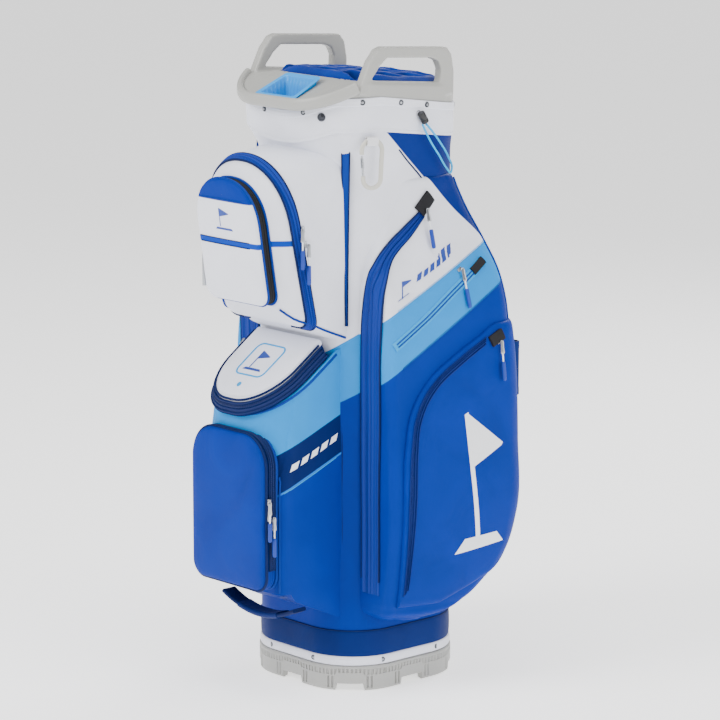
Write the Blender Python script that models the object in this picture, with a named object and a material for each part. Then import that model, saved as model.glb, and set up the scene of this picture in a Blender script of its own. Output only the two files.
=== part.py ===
"""Golf cart bag: a tube of fabric between a moulded base and a moulded top, with zipped pockets round it.

Metres. The origin is on the floor under the middle of the tube, +Z up, the pocket stack faces -Y, and
the right side pocket is at +X. Every size that can be set by itself is a named value below.
"""

import math

import bpy
import bmesh
from mathutils import Matrix, Vector

# ---------------------------------------------------------------- clearances
GAP = 0.0003  # between two pieces that touch
SLIDE = 0.0008  # round a piece that turns

# ---------------------------------------------------------------- tube
TUBE_HALF = 0.120  # half of the outer width, front to back and side to side
TUBE_CORNER = 0.080
TUBE_WALL = 0.003
TUBE_BOTTOM = 0.0368
TUBE_TOP = 0.786

# ---------------------------------------------------------------- base and lower trim
BASE_PROUD = 0.0035  # base outside the tube
BASE_RIM = 0.0365
BASE_LIP_TOP = 0.100
BASE_LIP_WALL = 0.004
BASE_FLOOR = 0.013
NOTCH_WIDTH = 0.042
NOTCH_DEPTH = 0.024
NOTCH_HEIGHT = 0.010
BAND_TOP = 0.0505
BAND_THICK = 0.0019
LOWER_CUFF_TOP = 0.088
LOWER_CUFF_THICK = 0.0012

# ---------------------------------------------------------------- upper cuff and top
CUFF_HALF = TUBE_HALF + 0.0025
CUFF_FRONT = -TUBE_HALF - 0.019
CUFF_CORNER = 0.075
CUFF_THICK = 0.0020
CUFF_LOW = 0.787
SEAM_LOW = 0.834
SEAM_WAVE = 0.020  # the cuff's edges rise this much at the front corners
RIM_LEVEL = 0.870  # top edge of the collar beside the middle
RIM_FALL = 0.095  # fall of the rim per metre towards the back
SPOUT_START = -0.090  # in front of this, the rim falls forwards round the putter well
SPOUT_FALL = 0.45
COLLAR_HALF = TUBE_HALF + 0.004
COLLAR_FRONT = -TUBE_HALF - 0.031
COLLAR_CORNER = 0.084
RIM_BEVEL = 0.003
BRIDGE = 0.020  # height of the collar between its opening and its wall
LIP_BOTTOM = 0.765
MOUTH_HALF = TUBE_HALF - 0.017
MOUTH_FRONT = -TUBE_HALF + 0.043
MOUTH_BACK = TUBE_HALF - 0.014
MOUTH_CORNER = 0.050
HANDLE_X = TUBE_HALF - 0.0065
HANDLE_THICK = 0.014
HANDLE_TOP = 0.925
HANDLE_GRIP = 0.016  # height of the bar that the hand holds

# ---------------------------------------------------------------- putter well
WELL_BACK = -TUBE_HALF + 0.020
WELL_FRONT = -TUBE_HALF - 0.038
WELL_HALF_BACK = 0.033
WELL_HALF_FRONT = 0.038
WELL_FOOT_FRONT = -TUBE_HALF - 0.0145
WELL_BOTTOM = 0.790
WELL_WALL = 0.002
WELL_FLARE = 0.8355  # where its front starts to widen

# ---------------------------------------------------------------- dividers
GRID_BOTTOM = 0.852
GRID_ABOVE_RIM = 0.006
GRID_EDGE = 0.008
GRID_BAR = 0.0075
GRID_ROWS = (3, 4, 4, 3)
CELL_CORNER = 0.004
SHEET_THICK = 0.002
SHEET_HALF = TUBE_HALF - 0.020
STAY_RADIUS = 0.004
STAY_AT = TUBE_HALF - 0.034
STAY_TOP = 0.838

# ---------------------------------------------------------------- upper front pocket
UPPER_LEVEL = 0.53  # height at which the slanted planes below are placed
SPLIT_AT = -0.157  # plane of the big zip at that height
SPLIT_SLANT = 0.19  # how far it goes forwards per metre up
FACE_AT = -0.2158
FACE_SLANT = 0.16
POUCH_DEPTH = 0.022  # small valuables pocket, rear seam to face
DOOR_THICK = 0.0067
UPPER_SKIN = 0.005
TUNNEL_DEEP = 0.0075
TUNNEL_LOW = 0.575
TUNNEL_HIGH = 0.762
UPPER_HOLLOW_HALF = 0.066
UPPER_HOLLOW_LOW = 0.565
UPPER_HOLLOW_HIGH = 0.735
UPPER_HOLLOW_BACK = -0.1345

# ---------------------------------------------------------------- cooler and ball pocket
LOWER_HALF = 0.087
LOWER_FRONT = -0.2180
LOWER_BROW = -0.2290  # front of the module above the ball pocket
LOWER_UNDER = 0.114  # height of its underside at the tube
UNDER_SLOPE = 0.45
CHIN_AT = -0.189  # in front of this, the underside turns up to the ball pocket
CHIN_SLOPE = 0.8
LID_FRONT = -0.238
LID_ROUND = 0.070
LID_BACK = -0.1245
LID_SLOPE = 0.69
LID_FRONT_TOP = 0.434
LID_THICK = 0.024
LID_HALF = 0.081
EAR_TOP = 0.500  # the module's corners beside the lid's hinge
LID_TOP_HALF = 0.068
COOLER_FLOOR = 0.190
COOLER_WALL = 0.008
COOLER_BACK = -0.1275
COOLER_STEP = -0.173  # front of the deep part, behind the ball pocket
COOLER_SILL = 0.396
LINER = 0.002
BALL_HALF = 0.079
BALL_LOW = 0.165
BALL_TOP = 0.389
BALL_FACE = -0.2425
BALL_DOOR = 0.0065
BALL_TRAY = 0.040  # how far the pocket reaches into the module
BALL_WALL = 0.008

# ---------------------------------------------------------------- side pockets
SIDE_FRONT = -0.085
SIDE_BACK = 0.1425
SIDE_DEEP = 0.205  # furthest out, low down
POUCH_RAISE = 0.008
POUCH_BACK = 0.112

# ---------------------------------------------------------------- small pieces
SLEEVE_X = 0.165
SLEEVE_HALF = 0.0150
SLEEVE_DEEP = 0.0180
SLEEVE_WALL = 0.0022
SLEEVE_LOW = 0.412
SLEEVE_HIGH = 0.490
CORD_RADIUS = 0.0015
LOCK_LOW = (0.1228, 0.0055, 0.8138)
LOCK_HIGH = (0.1350, 0.0210, 0.8290)
CLIP_TURN = math.radians(66)  # direction the clip faces, from the front towards the right
CLIP_AT = (0.1262, -0.0815)
CLIP_PIVOT = 0.798
CLIP_WIDE = 0.036
CLIP_TALL = 0.074
CLIP_WIRE = 0.0032
TAB_WIDE = 0.016
TAB_THICK = 0.0016
GRAB_Y = -0.176
GRAB_HALF = 0.078
GRAB_WIDE = 0.024
GRAB_THICK = 0.005
GRAB_DROP = 0.014
SLIDER = (0.0062, 0.0042, 0.0090)  # across the zip, off the cloth, along the zip
SLIDER_OFF = 0.0005  # gap under a slider, on cloth that isn't flat
PULLER_RADIUS = 0.0032
PULLER_LENGTH = 0.056
LID_PULL = 0.010
PAD_LOW = 0.300
PAD_HIGH = 0.640
PAD_HALF = 0.030
PAD_THICK = 0.012
WEB_HALF = 0.019
WEB_THICK = 0.0025
WEB_LOW = 0.100
WEB_HIGH = 0.760


# ================================================================ materials
def material(name, colour, roughness, metallic=0.0):
    """A Principled material in one colour, given as linear red, green and blue."""
    made = bpy.data.materials.new(name)
    made.use_nodes = True
    shader = made.node_tree.nodes["Principled BSDF"]
    shader.inputs["Base Color"].default_value = (*colour, 1.0)
    shader.inputs["Roughness"].default_value = roughness
    shader.inputs["Metallic"].default_value = metallic
    return made


def make_materials():
    return {
        "royal": material("royal_blue_nylon", (0.010, 0.075, 0.42), 0.62),
        "navy": material("dark_blue_nylon", (0.010, 0.040, 0.23), 0.65),
        "sky": material("light_blue_nylon", (0.05, 0.46, 0.78), 0.60),
        "white": material("white_coated_fabric", (0.72, 0.73, 0.80), 0.55),
        "grey": material("light_grey_moulding", (0.60, 0.61, 0.58), 0.45),
        "cyan": material("light_blue_moulding", (0.08, 0.55, 0.85), 0.40),
        "liner": material("silver_foil_liner", (0.55, 0.57, 0.60), 0.35, 0.6),
        "metal": material("ivory_plated_zinc", (0.62, 0.60, 0.54), 0.30, 0.7),
        "steel": material("brushed_alloy", (0.62, 0.63, 0.65), 0.35, 0.9),
        "rod": material("glass_fibre_rod", (0.06, 0.06, 0.06), 0.5),
        "black": material("black_plastic", (0.02, 0.02, 0.022), 0.5),
        "webbing": material("blue_webbing", (0.012, 0.05, 0.30), 0.8),
    }


# ================================================================ mesh helpers
def finish(name, mesh_data, paint):
    """Make an object of a bmesh, with its faces out, and give it its material."""
    bmesh.ops.recalc_face_normals(mesh_data, faces=mesh_data.faces)
    mesh = bpy.data.meshes.new(name)
    mesh_data.to_mesh(mesh)
    mesh_data.free()
    made = bpy.data.objects.new(name, mesh)
    bpy.context.scene.collection.objects.link(made)
    if paint:
        mesh.materials.append(paint)
    mesh.shade_smooth()
    mesh.set_sharp_from_angle(angle=math.radians(35))
    return made


def loft(name, rings, paint, closed=False):
    """Skin rings that have the same number of points, with caps, or as a closed loop of rings."""
    data = bmesh.new()
    loops = [[data.verts.new(point) for point in ring] for ring in rings]
    count = len(loops[0])
    pairs = list(zip(loops, loops[1:]))
    if closed:
        pairs.append((loops[-1], loops[0]))
    for low, high in pairs:
        for k in range(count):
            after = (k + 1) % count
            data.faces.new((low[k], low[after], high[after], high[k]))
    if not closed:
        data.faces.new(list(reversed(loops[0])))
        data.faces.new(loops[-1])
    return finish(name, data, paint)


def side_prism(name, outline, x_low, x_high, paint=None):
    """A prism along X with an outline of (y, z) points."""
    rings = [[(x, y, z) for y, z in outline] for x in (x_low, x_high)]
    return loft(name, rings, paint)


def box(name, low, high, paint=None):
    corners = [(low[0], low[1]), (high[0], low[1]), (high[0], high[1]), (low[0], high[1])]
    return loft(name, [[(x, y, z) for x, y in corners] for z in (low[2], high[2])], paint)


def combine(target, other, operation):
    """Add a live Boolean to target and keep the other object as a hidden guide."""
    change = target.modifiers.new(other.name, "BOOLEAN")
    change.operation = operation
    change.object = other
    other.hide_render = True
    other.display_type = "WIRE"
    return target


def cut(target, *cutters):
    for cutter in cutters:
        combine(target, cutter, "DIFFERENCE")
    return target


def join(target, *others):
    for other in others:
        combine(target, other, "UNION")
    return target


def keep_inside(target, other):
    return combine(target, other, "INTERSECT")


def outline(half, front, back, corner_front, corner_back, steps=6, middle=2):
    """Points of a rectangle with rounded corners, anticlockwise from above, at x = +-half."""
    corners = (
        (half - corner_back, back - corner_back, corner_back, 0),
        (-half + corner_back, back - corner_back, corner_back, 90),
        (-half + corner_front, front + corner_front, corner_front, 180),
        (half - corner_front, front + corner_front, corner_front, 270),
    )
    points = []
    for cx, cy, radius, start in corners:
        for k in range(steps + 1):
            angle = math.radians(start + 90 * k / steps)
            points.append((cx + radius * math.cos(angle), cy + radius * math.sin(angle)))
    with_middles = []
    for k, point in enumerate(points):
        with_middles.append(point)
        if k % (steps + 1) == steps:
            after = points[(k + 1) % len(points)]
            for m in range(1, middle + 1):
                share = m / (middle + 1)
                with_middles.append(
                    (point[0] + share * (after[0] - point[0]), point[1] + share * (after[1] - point[1]))
                )
    return with_middles


def at_height(points, height):
    """Lift plan points to a height, given as a number or as a function of (x, y)."""
    if callable(height):
        return [(x, y, height(x, y)) for x, y in points]
    return [(x, y, height) for x, y in points]


def square(half, middle=2):
    """The tube's plan outline at another half width, its corners growing with it."""
    return outline(half, -half, half, TUBE_CORNER + half - TUBE_HALF, TUBE_CORNER + half - TUBE_HALF,
                   middle=middle)


def arch(half, low, high, power, foot=0.018, steps=10):
    """(x, z) points of an arched panel: rounded foot corners, straight sides, a superellipse top."""
    points = []
    for side, start in ((-1, 180), (1, 270)):
        for k in range(4):
            angle = math.radians(start + 30 * k)
            points.append((side * (half - foot) + foot * math.cos(angle),
                           low + foot + foot * math.sin(angle)))
    spring = high - 1.05 * half
    for k in range(2 * steps + 1):
        angle = math.pi * k / (2 * steps)
        across = math.copysign(abs(math.cos(angle)) ** (2 / power), math.cos(angle))
        points.append((half * across, spring + (high - spring) * abs(math.sin(angle)) ** (2 / power)))
    return points


def slanted(points, at, slant):
    """Stand (x, z) points on the plane that goes forwards by slant per metre above UPPER_LEVEL."""
    return [(x, at - slant * (z - UPPER_LEVEL), z) for x, z in points]


def tube_cutter(name, grow, low=0.0, high=1.0):
    """The tube's outer shape, grown, to cut what lies against it."""
    return loft(name, [at_height(square(TUBE_HALF + grow), z) for z in (low, high)], None)


def rod(name, start, end, radius, paint, sides=8):
    """A straight round bar."""
    start, end = Vector(start), Vector(end)
    turn = (end - start).to_track_quat("Z", "Y").to_matrix()
    rings = []
    for centre in (start, end):
        ring = []
        for k in range(sides):
            angle = 2 * math.pi * k / sides
            ring.append(centre + turn @ Vector((radius * math.cos(angle), radius * math.sin(angle), 0)))
        rings.append(ring)
    return loft(name, rings, paint)


def mirror_points(rings):
    """The same rings at -X."""
    return [[(-x, y, z) for x, y, z in ring] for ring in rings]


# ================================================================ shared curves of the top
def wave(x, y):
    """Rise of the cuff's edges: none in the middle of the front, full at its corners, none at the back."""
    corner = min(1.0, (x / 0.095) ** 2)
    behind = min(1.0, max(0.0, (y + 0.06) / 0.15))
    return SEAM_WAVE * corner * (1 - behind)


def cuff_low(x, y):
    return CUFF_LOW + wave(x, y)


def seam(x, y):
    return SEAM_LOW + 1.1 * wave(x, y)


def rim(x, y):
    """Height of the collar's top edge."""
    level = RIM_LEVEL - RIM_FALL * max(y, SPOUT_START)
    return level - SPOUT_FALL * max(0.0, SPOUT_START - y)


# ================================================================ base, tube and trim
def make_base(paint):
    outer = TUBE_HALF + BASE_PROUD
    lip = TUBE_HALF - TUBE_WALL - 0.0005
    inner = lip - BASE_LIP_WALL
    base = loft("base", [
        at_height(square(outer - 0.002), 0.0),
        at_height(square(outer), 0.004),
        at_height(square(outer), BASE_RIM),
        at_height(square(lip), BASE_RIM),
        at_height(square(lip), BASE_LIP_TOP),
        at_height(square(inner), BASE_LIP_TOP),
        at_height(square(inner), BASE_FLOOR),
    ], paint)
    for k in range(8):
        turn = math.radians(45 * k)
        reach = outer if k % 2 == 0 else outer * math.sqrt(2) - TUBE_CORNER * (math.sqrt(2) - 1)
        notch = box("notch_%d" % k, (-NOTCH_WIDTH / 2, reach - NOTCH_DEPTH, -0.01),
                    (NOTCH_WIDTH / 2, reach + 0.03, NOTCH_HEIGHT))
        notch.rotation_euler.z = turn
        cut(base, notch)
    return base


def ring_wall(name, outer, thick, low, high, paint):
    """A band of cloth round the tube."""
    return loft(name, [
        at_height(square(outer), low),
        at_height(square(outer), high),
        at_height(square(outer - thick), high),
        at_height(square(outer - thick), low),
    ], paint, closed=True)


def make_tube(paints):
    skin = TUBE_HALF + GAP
    ring_wall("body_shell", TUBE_HALF, TUBE_WALL, TUBE_BOTTOM, TUBE_TOP, paints["royal"])
    ring_wall("lower_band", skin + BAND_THICK, BAND_THICK, TUBE_BOTTOM, BAND_TOP, paints["white"])
    ring_wall("lower_cuff", skin + LOWER_CUFF_THICK, LOWER_CUFF_THICK, BAND_TOP + GAP, LOWER_CUFF_TOP,
              paints["royal"])


def cuff_plan(inset):
    """Plan outline of the upper cuff, moved in by inset."""
    half = CUFF_HALF - inset
    return outline(half, CUFF_FRONT + inset, half, CUFF_CORNER - inset, TUBE_CORNER - inset, middle=3)


def make_upper_cuff(paint):
    return loft("upper_cuff", [
        at_height(cuff_plan(0), cuff_low),
        at_height(cuff_plan(0), lambda x, y: seam(x, y) - GAP),
        at_height(cuff_plan(CUFF_THICK), lambda x, y: seam(x, y) - GAP),
        at_height(cuff_plan(CUFF_THICK), cuff_low),
    ], paint, closed=True)


# ================================================================ top collar with its handles
def handle_outline(inner):
    """(y, z) outline of a side handle, or of the window in it."""
    if inner:
        top = HANDLE_TOP - HANDLE_GRIP
        return [(0.054, rim(0, 0.054) + 0.002), (0.056, 0.886), (0.050, 0.898), (0.036, top - 0.006),
                (-0.046, top), (-0.060, top - 0.010), (-0.077, rim(0, -0.077) + 0.002)]
    return [(0.080, 0.848), (0.081, 0.880), (0.076, 0.905), (0.067, HANDLE_TOP - 0.009),
            (-0.054, HANDLE_TOP), (-0.064, HANDLE_TOP - 0.003), (-0.078, HANDLE_TOP - 0.018),
            (-0.093, 0.878), (-0.100, 0.861), (-0.060, 0.861)]


def well_plan(grow, low):
    """Plan of the putter well: wider at the front, and shorter at its foot."""
    front = (WELL_FOOT_FRONT if low else WELL_FRONT) - grow
    back = WELL_BACK + grow
    half_front = WELL_HALF_FRONT + grow - (0.005 if low else 0)
    half_back = WELL_HALF_BACK + grow
    cut_corner = 0.006
    return [
        (half_back - cut_corner, back), (-half_back + cut_corner, back), (-half_back, back - cut_corner),
        (-half_front, front + cut_corner), (-half_front + cut_corner, front),
        (half_front - cut_corner, front), (half_front, front + cut_corner), (half_back, back - cut_corner),
    ]


def make_collar(paint):
    lip_outer = TUBE_HALF - TUBE_WALL - 0.0005
    lip_inner = lip_outer - 0.003

    def collar_plan(inset):
        return outline(COLLAR_HALF - inset, COLLAR_FRONT + inset, COLLAR_HALF - inset,
                       COLLAR_CORNER - inset, COLLAR_CORNER - inset, middle=3)

    def mouth_plan():
        return outline(MOUTH_HALF, MOUTH_FRONT, MOUTH_BACK, MOUTH_CORNER, MOUTH_CORNER, middle=3)

    collar = loft("top_collar", [
        at_height(cuff_plan(0), seam),
        at_height(collar_plan(0), lambda x, y: max(seam(x, y) + 0.006, rim(x, y) - RIM_BEVEL)),
        at_height(collar_plan(RIM_BEVEL), lambda x, y: max(seam(x, y) + 0.008, rim(x, y))),
        at_height(mouth_plan(), rim),
        at_height(mouth_plan(), lambda x, y: rim(x, y) - BRIDGE),
        at_height(square(lip_inner, middle=3), lambda x, y: rim(x, y) - BRIDGE),
        at_height(square(lip_inner, middle=3), LIP_BOTTOM),
        at_height(square(lip_outer, middle=3), LIP_BOTTOM),
        at_height(square(lip_outer, middle=3), lambda x, y: seam(x, y) - 0.004),
        at_height(cuff_plan(CUFF_THICK + GAP), seam),
    ], paint, closed=True)
    for side, word in ((-1, "left"), (1, "right")):
        low = side * HANDLE_X - HANDLE_THICK / 2
        handle = side_prism("handle_" + word, handle_outline(False), low, low + HANDLE_THICK)
        window = side_prism("window_" + word, handle_outline(True), low - 0.02, low + HANDLE_THICK + 0.02)
        join(collar, handle)
        cut(collar, window)
    hole = loft("well_hole", [
        at_height(well_plan(GAP, True), WELL_BOTTOM - GAP),
        at_height(well_plan(GAP, True), WELL_FLARE - GAP),
        at_height(well_plan(GAP, False), WELL_FLARE + 0.010),
        at_height(well_plan(GAP, False), 0.95),
    ], None)
    return cut(collar, hole)


def make_putter_well(paint):
    """An open cup that hangs in the collar, flush with its slope."""

    def top(x, y):
        return rim(x, y) + 0.0015

    return loft("putter_well", [
        at_height(well_plan(0, True), WELL_BOTTOM),
        at_height(well_plan(0, True), WELL_FLARE),
        at_height(well_plan(0, False), WELL_FLARE + 0.010 + GAP),
        at_height(well_plan(0, False), top),
        at_height(well_plan(-WELL_WALL, False), top),
        at_height(well_plan(-WELL_WALL, False), WELL_FLARE + 0.010 + GAP),
        at_height(well_plan(-WELL_WALL, True), WELL_FLARE - GAP),
        at_height(well_plan(-WELL_WALL, True), WELL_BOTTOM + WELL_WALL),
    ], paint)


# ================================================================ dividers and stays
def grid_rows():
    """(front y, back y) of each row of cells."""
    front = MOUTH_FRONT + 0.0005 + GRID_EDGE
    length = MOUTH_BACK - 0.0005 - GRID_EDGE - front
    pitch = (length + GRID_BAR) / len(GRID_ROWS)
    return [(front + k * pitch, front + (k + 1) * pitch - GRID_BAR) for k in range(len(GRID_ROWS))]


def make_grid(paint):
    edge = outline(MOUTH_HALF - 0.0005, MOUTH_FRONT + 0.0005, MOUTH_BACK - 0.0005,
                   MOUTH_CORNER - 0.0005, MOUTH_CORNER - 0.0005, middle=3)
    grid = loft("divider_grid", [
        at_height(edge, GRID_BOTTOM),
        at_height(edge, lambda x, y: rim(x, y) - 0.001),
        at_height([(0.93 * x, 0.014 + 0.93 * (y - 0.014)) for x, y in edge],
                  lambda x, y: rim(x, y) + GRID_ABOVE_RIM),
    ], paint)
    for row, (front, back) in enumerate(grid_rows()):
        at_end = row in (0, len(GRID_ROWS) - 1)
        reach = MOUTH_HALF - GRID_EDGE - (0.014 if at_end else 0.004)
        count = GRID_ROWS[row]
        pitch = (2 * reach + GRID_BAR) / count
        for k in range(count):
            low = -reach + k * pitch
            middle_x = low + (pitch - GRID_BAR) / 2
            middle_y = (front + back) / 2
            plan = outline((pitch - GRID_BAR) / 2, (front - back) / 2, (back - front) / 2,
                           CELL_CORNER, CELL_CORNER, steps=1, middle=0)
            plan = [(middle_x + x, middle_y + y) for x, y in plan]
            cell = loft("cell_%d_%d" % (row, k), [at_height(plan, z) for z in (0.80, 0.95)], None)
            cut(grid, cell)
    return grid


def make_sheets_and_stays(paints):
    rows = grid_rows()
    for k, (row, after) in enumerate(zip(rows, rows[1:])):
        y = (row[1] + after[0]) / 2
        box("divider_sheet_%d" % (k + 1), (-SHEET_HALF, y - SHEET_THICK / 2, BASE_FLOOR + GAP),
            (SHEET_HALF, y + SHEET_THICK / 2, GRID_BOTTOM - GAP), paints["navy"])
    for x, across in ((-STAY_AT, "left"), (STAY_AT, "right")):
        for y, along in ((-STAY_AT, "front"), (STAY_AT, "rear")):
            rod("stay_%s_%s" % (along, across), (x, y, BASE_FLOOR + GAP), (x, y, STAY_TOP), STAY_RADIUS,
                paints["rod"])


# ================================================================ upper front pocket
def upper_sections():
    """Rings of the whole upper pocket, from the tube to the rear seam of the valuables pocket."""
    seam_at = FACE_AT + POUCH_DEPTH
    return [
        slanted(arch(0.094, 0.507, 0.780, 5.0), -0.100, 0.0),
        slanted(arch(0.089, 0.527, 0.779, 3.2), -0.140, 0.03),
        slanted(arch(0.087, 0.531, 0.776, 2.3), SPLIT_AT + 0.010, SPLIT_SLANT),
        slanted(arch(0.080, 0.541, 0.763, 2.25), SPLIT_AT - 0.014, SPLIT_SLANT),
        slanted(arch(0.067, 0.566, 0.750, 2.2), seam_at, FACE_SLANT),
    ]


def slanted_block(name, at, slant, front):
    """Everything in front of a slanted plane, or behind it."""
    low, high = 0.40, 0.90
    reach = -0.5 if front else 0.5
    return side_prism(name, [
        (at - slant * (low - UPPER_LEVEL), low), (at + reach, low),
        (at + reach, high), (at - slant * (high - UPPER_LEVEL), high),
    ], -0.3, 0.3)


def upper_hollow(name, low_half, at, slant, depth_at, depth_slant):
    """An arched hollow between two slanted planes."""
    shape = arch(low_half, UPPER_HOLLOW_LOW, UPPER_HOLLOW_HIGH, 2.6)
    return loft(name, [slanted(shape, at, slant), slanted(shape, depth_at, depth_slant)], None)


def make_upper_pocket(paints):
    rear = loft("upper_pocket_body", upper_sections(), paints["white"])
    cut(rear, tube_cutter("upper_tube", GAP),
        tube_cutter("strap_tunnel", TUNNEL_DEEP, TUNNEL_LOW, TUNNEL_HIGH),
        slanted_block("upper_split_front", SPLIT_AT + GAP, SPLIT_SLANT, True),
        upper_hollow("upper_hollow_rear", UPPER_HOLLOW_HALF, UPPER_HOLLOW_BACK, 0.0,
                     SPLIT_AT - 0.005, SPLIT_SLANT))
    nose = loft("upper_pocket_front", upper_sections(), paints["white"])
    cut(nose, slanted_block("upper_split_rear", SPLIT_AT, SPLIT_SLANT, False),
        upper_hollow("upper_hollow_front", UPPER_HOLLOW_HALF - 0.012, SPLIT_AT + 0.005, SPLIT_SLANT,
                     FACE_AT + POUCH_DEPTH + UPPER_SKIN, FACE_SLANT))


def make_valuables_pocket(paints):
    """A shallow tray on the front of the upper pocket, and the padded flap that closes it."""
    back = FACE_AT + POUCH_DEPTH - GAP
    front = FACE_AT + DOOR_THICK + GAP
    low, high = 0.569, 0.747
    tray = loft("valuables_pocket", [
        slanted(arch(0.0645, low, high, 2.3), back, FACE_SLANT),
        slanted(arch(0.0635, low + 0.002, high - 0.002, 2.3), front, FACE_SLANT),
    ], paints["black"])
    inside = arch(0.0585, low + 0.006, high - 0.007, 2.3, foot=0.014)
    cut(tray, loft("valuables_hollow", [
        slanted(inside, back - 0.0015, FACE_SLANT), slanted(inside, front - 0.01, FACE_SLANT),
    ], None))
    loft("valuables_flap", [
        slanted(arch(0.0630, low + 0.0025, high - 0.0025, 2.3), FACE_AT + DOOR_THICK, FACE_SLANT),
        slanted(arch(0.0615, low + 0.004, high - 0.004, 2.3), FACE_AT + 0.0015, FACE_SLANT),
        slanted(arch(0.0570, low + 0.008, high - 0.008, 2.3), FACE_AT, FACE_SLANT),
    ], paints["white"])


# ================================================================ cooler and ball pocket
def lid_top(y):
    return LID_FRONT_TOP + LID_SLOPE * (y - LID_FRONT)


def under(y):
    """Height of the lower module's underside."""
    y = max(y, -0.200)
    return LOWER_UNDER + UNDER_SLOPE * (-TUBE_HALF - y) + CHIN_SLOPE * max(0.0, CHIN_AT - y)


def mouth_ring(inset):
    """Plan of the lower module at the lid: a wide round front."""
    return outline(LOWER_HALF - inset, LOWER_BROW + inset, -0.080, LID_ROUND - inset, 0.004)


def make_cooler(paints):
    straight = outline(LOWER_HALF - 0.001, LOWER_FRONT, -0.080, 0.014, 0.004)
    rounding = outline(LOWER_HALF - 0.004, LOWER_FRONT + 0.010, -0.080, 0.020, 0.004)
    body = loft("cooler_pocket", [
        at_height(rounding, lambda x, y: under(y)),
        at_height(straight, lambda x, y: under(y) + 0.010),
        at_height(straight, 0.300),
        at_height(outline(LOWER_HALF, LOWER_FRONT - 0.002, -0.080, 0.036, 0.004), 0.355),
        at_height(outline(LOWER_HALF, LOWER_BROW, -0.080, 0.064, 0.004), BALL_TOP + 0.006),
        at_height(mouth_ring(0), 0.418),
        at_height(mouth_ring(0), 0.560),
    ], paints["royal"])
    hinge_y = LID_BACK + 0.0013
    top_cut = side_prism("lid_cut", [
        (-0.30, lid_top(-0.30) - LID_THICK), (hinge_y, lid_top(hinge_y) - LID_THICK),
        (hinge_y, EAR_TOP), (-0.07, EAR_TOP), (-0.07, 0.70), (-0.30, 0.70),
    ], -0.2, 0.2)
    tray = box("tray_cut", (-BALL_HALF + BALL_WALL - GAP, -0.30, BALL_LOW + BALL_WALL - GAP),
               (BALL_HALF - BALL_WALL + GAP, LOWER_FRONT + BALL_TRAY + GAP, BALL_TOP - BALL_WALL + GAP))
    deep = outline(LOWER_HALF - COOLER_WALL, COOLER_STEP, COOLER_BACK, 0.008, 0.008)
    wide = outline(LOWER_HALF - COOLER_WALL, LOWER_BROW + COOLER_WALL, COOLER_BACK,
                   LID_ROUND - COOLER_WALL, 0.008)
    seat = loft("ball_seat", [ball_panel(-GAP, y) for y in (LOWER_FRONT, -0.30)], None)
    cut(body, tube_cutter("lower_tube", GAP), top_cut, tray, seat,
        loft("cooler_deep", [at_height(deep, z) for z in (COOLER_FLOOR, 0.60)], None),
        loft("cooler_wide", [at_height(wide, z) for z in (COOLER_SILL, 0.60)], None))
    make_liner(paints["liner"])
    make_lid(paints["white"])


def make_liner(paint):
    """A foil-faced liner, the inside of the cooler in one sheet."""
    wall = COOLER_WALL + GAP

    def plan(front, corner, grow):
        return outline(LOWER_HALF - wall - grow, front + GAP + grow, COOLER_BACK - GAP - grow,
                       corner - grow, 0.008 - grow)

    brow = LOWER_BROW + COOLER_WALL
    liner = loft("cooler_liner", [at_height(plan(COOLER_STEP, 0.008, 0), z)
                                  for z in (COOLER_FLOOR + GAP, 0.60)], paint)
    upper = loft("liner_wide", [at_height(plan(brow, LID_ROUND - COOLER_WALL, 0), z)
                                for z in (COOLER_SILL + GAP, 0.60)], None)
    join(liner, upper)
    cut(liner,
        loft("liner_deep_hollow", [at_height(plan(COOLER_STEP, 0.008, LINER), z)
                                   for z in (COOLER_FLOOR + GAP + LINER, 0.62)], None),
        loft("liner_wide_hollow", [at_height(plan(brow, LID_ROUND - COOLER_WALL, LINER), z)
                                   for z in (COOLER_SILL + GAP + LINER, 0.62)], None),
        side_prism("liner_top", [
            (-0.30, lid_top(-0.30) - LID_THICK), (-0.07, lid_top(-0.07) - LID_THICK), (-0.07, 0.70),
            (-0.30, 0.70),
        ], -0.2, 0.2))


def make_lid(paint):
    """The padded lid: it lies on the slope and turns up about its back edge."""

    skirt = outline(LID_HALF, LID_FRONT, LID_BACK, LID_ROUND, 0.003)
    edge = outline(LID_TOP_HALF + 0.001, LID_FRONT + 0.001, LID_BACK, LID_ROUND - 0.008, 0.003)
    panel = outline(LID_TOP_HALF - 0.003, LID_FRONT + 0.005, LID_BACK, LID_ROUND - 0.012, 0.003)
    loft("cooler_lid", [
        at_height(skirt, lambda x, y: lid_top(y) - LID_THICK + GAP),
        at_height(skirt, lambda x, y: lid_top(y) - LID_THICK + 0.004),
        at_height(edge, lambda x, y: lid_top(y) - 0.003),
        at_height(panel, lambda x, y: lid_top(y)),
    ], paint)


def ball_panel(inset, y):
    """Outline of the ball pocket: narrow round corners at its foot, wide ones at its top."""
    shape = outline(BALL_HALF - inset, BALL_LOW + inset, BALL_TOP - inset, 0.022 - inset / 2,
                    0.046 - inset / 2, steps=6, middle=1)
    return [(x, y, z) for x, z in shape]


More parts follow.
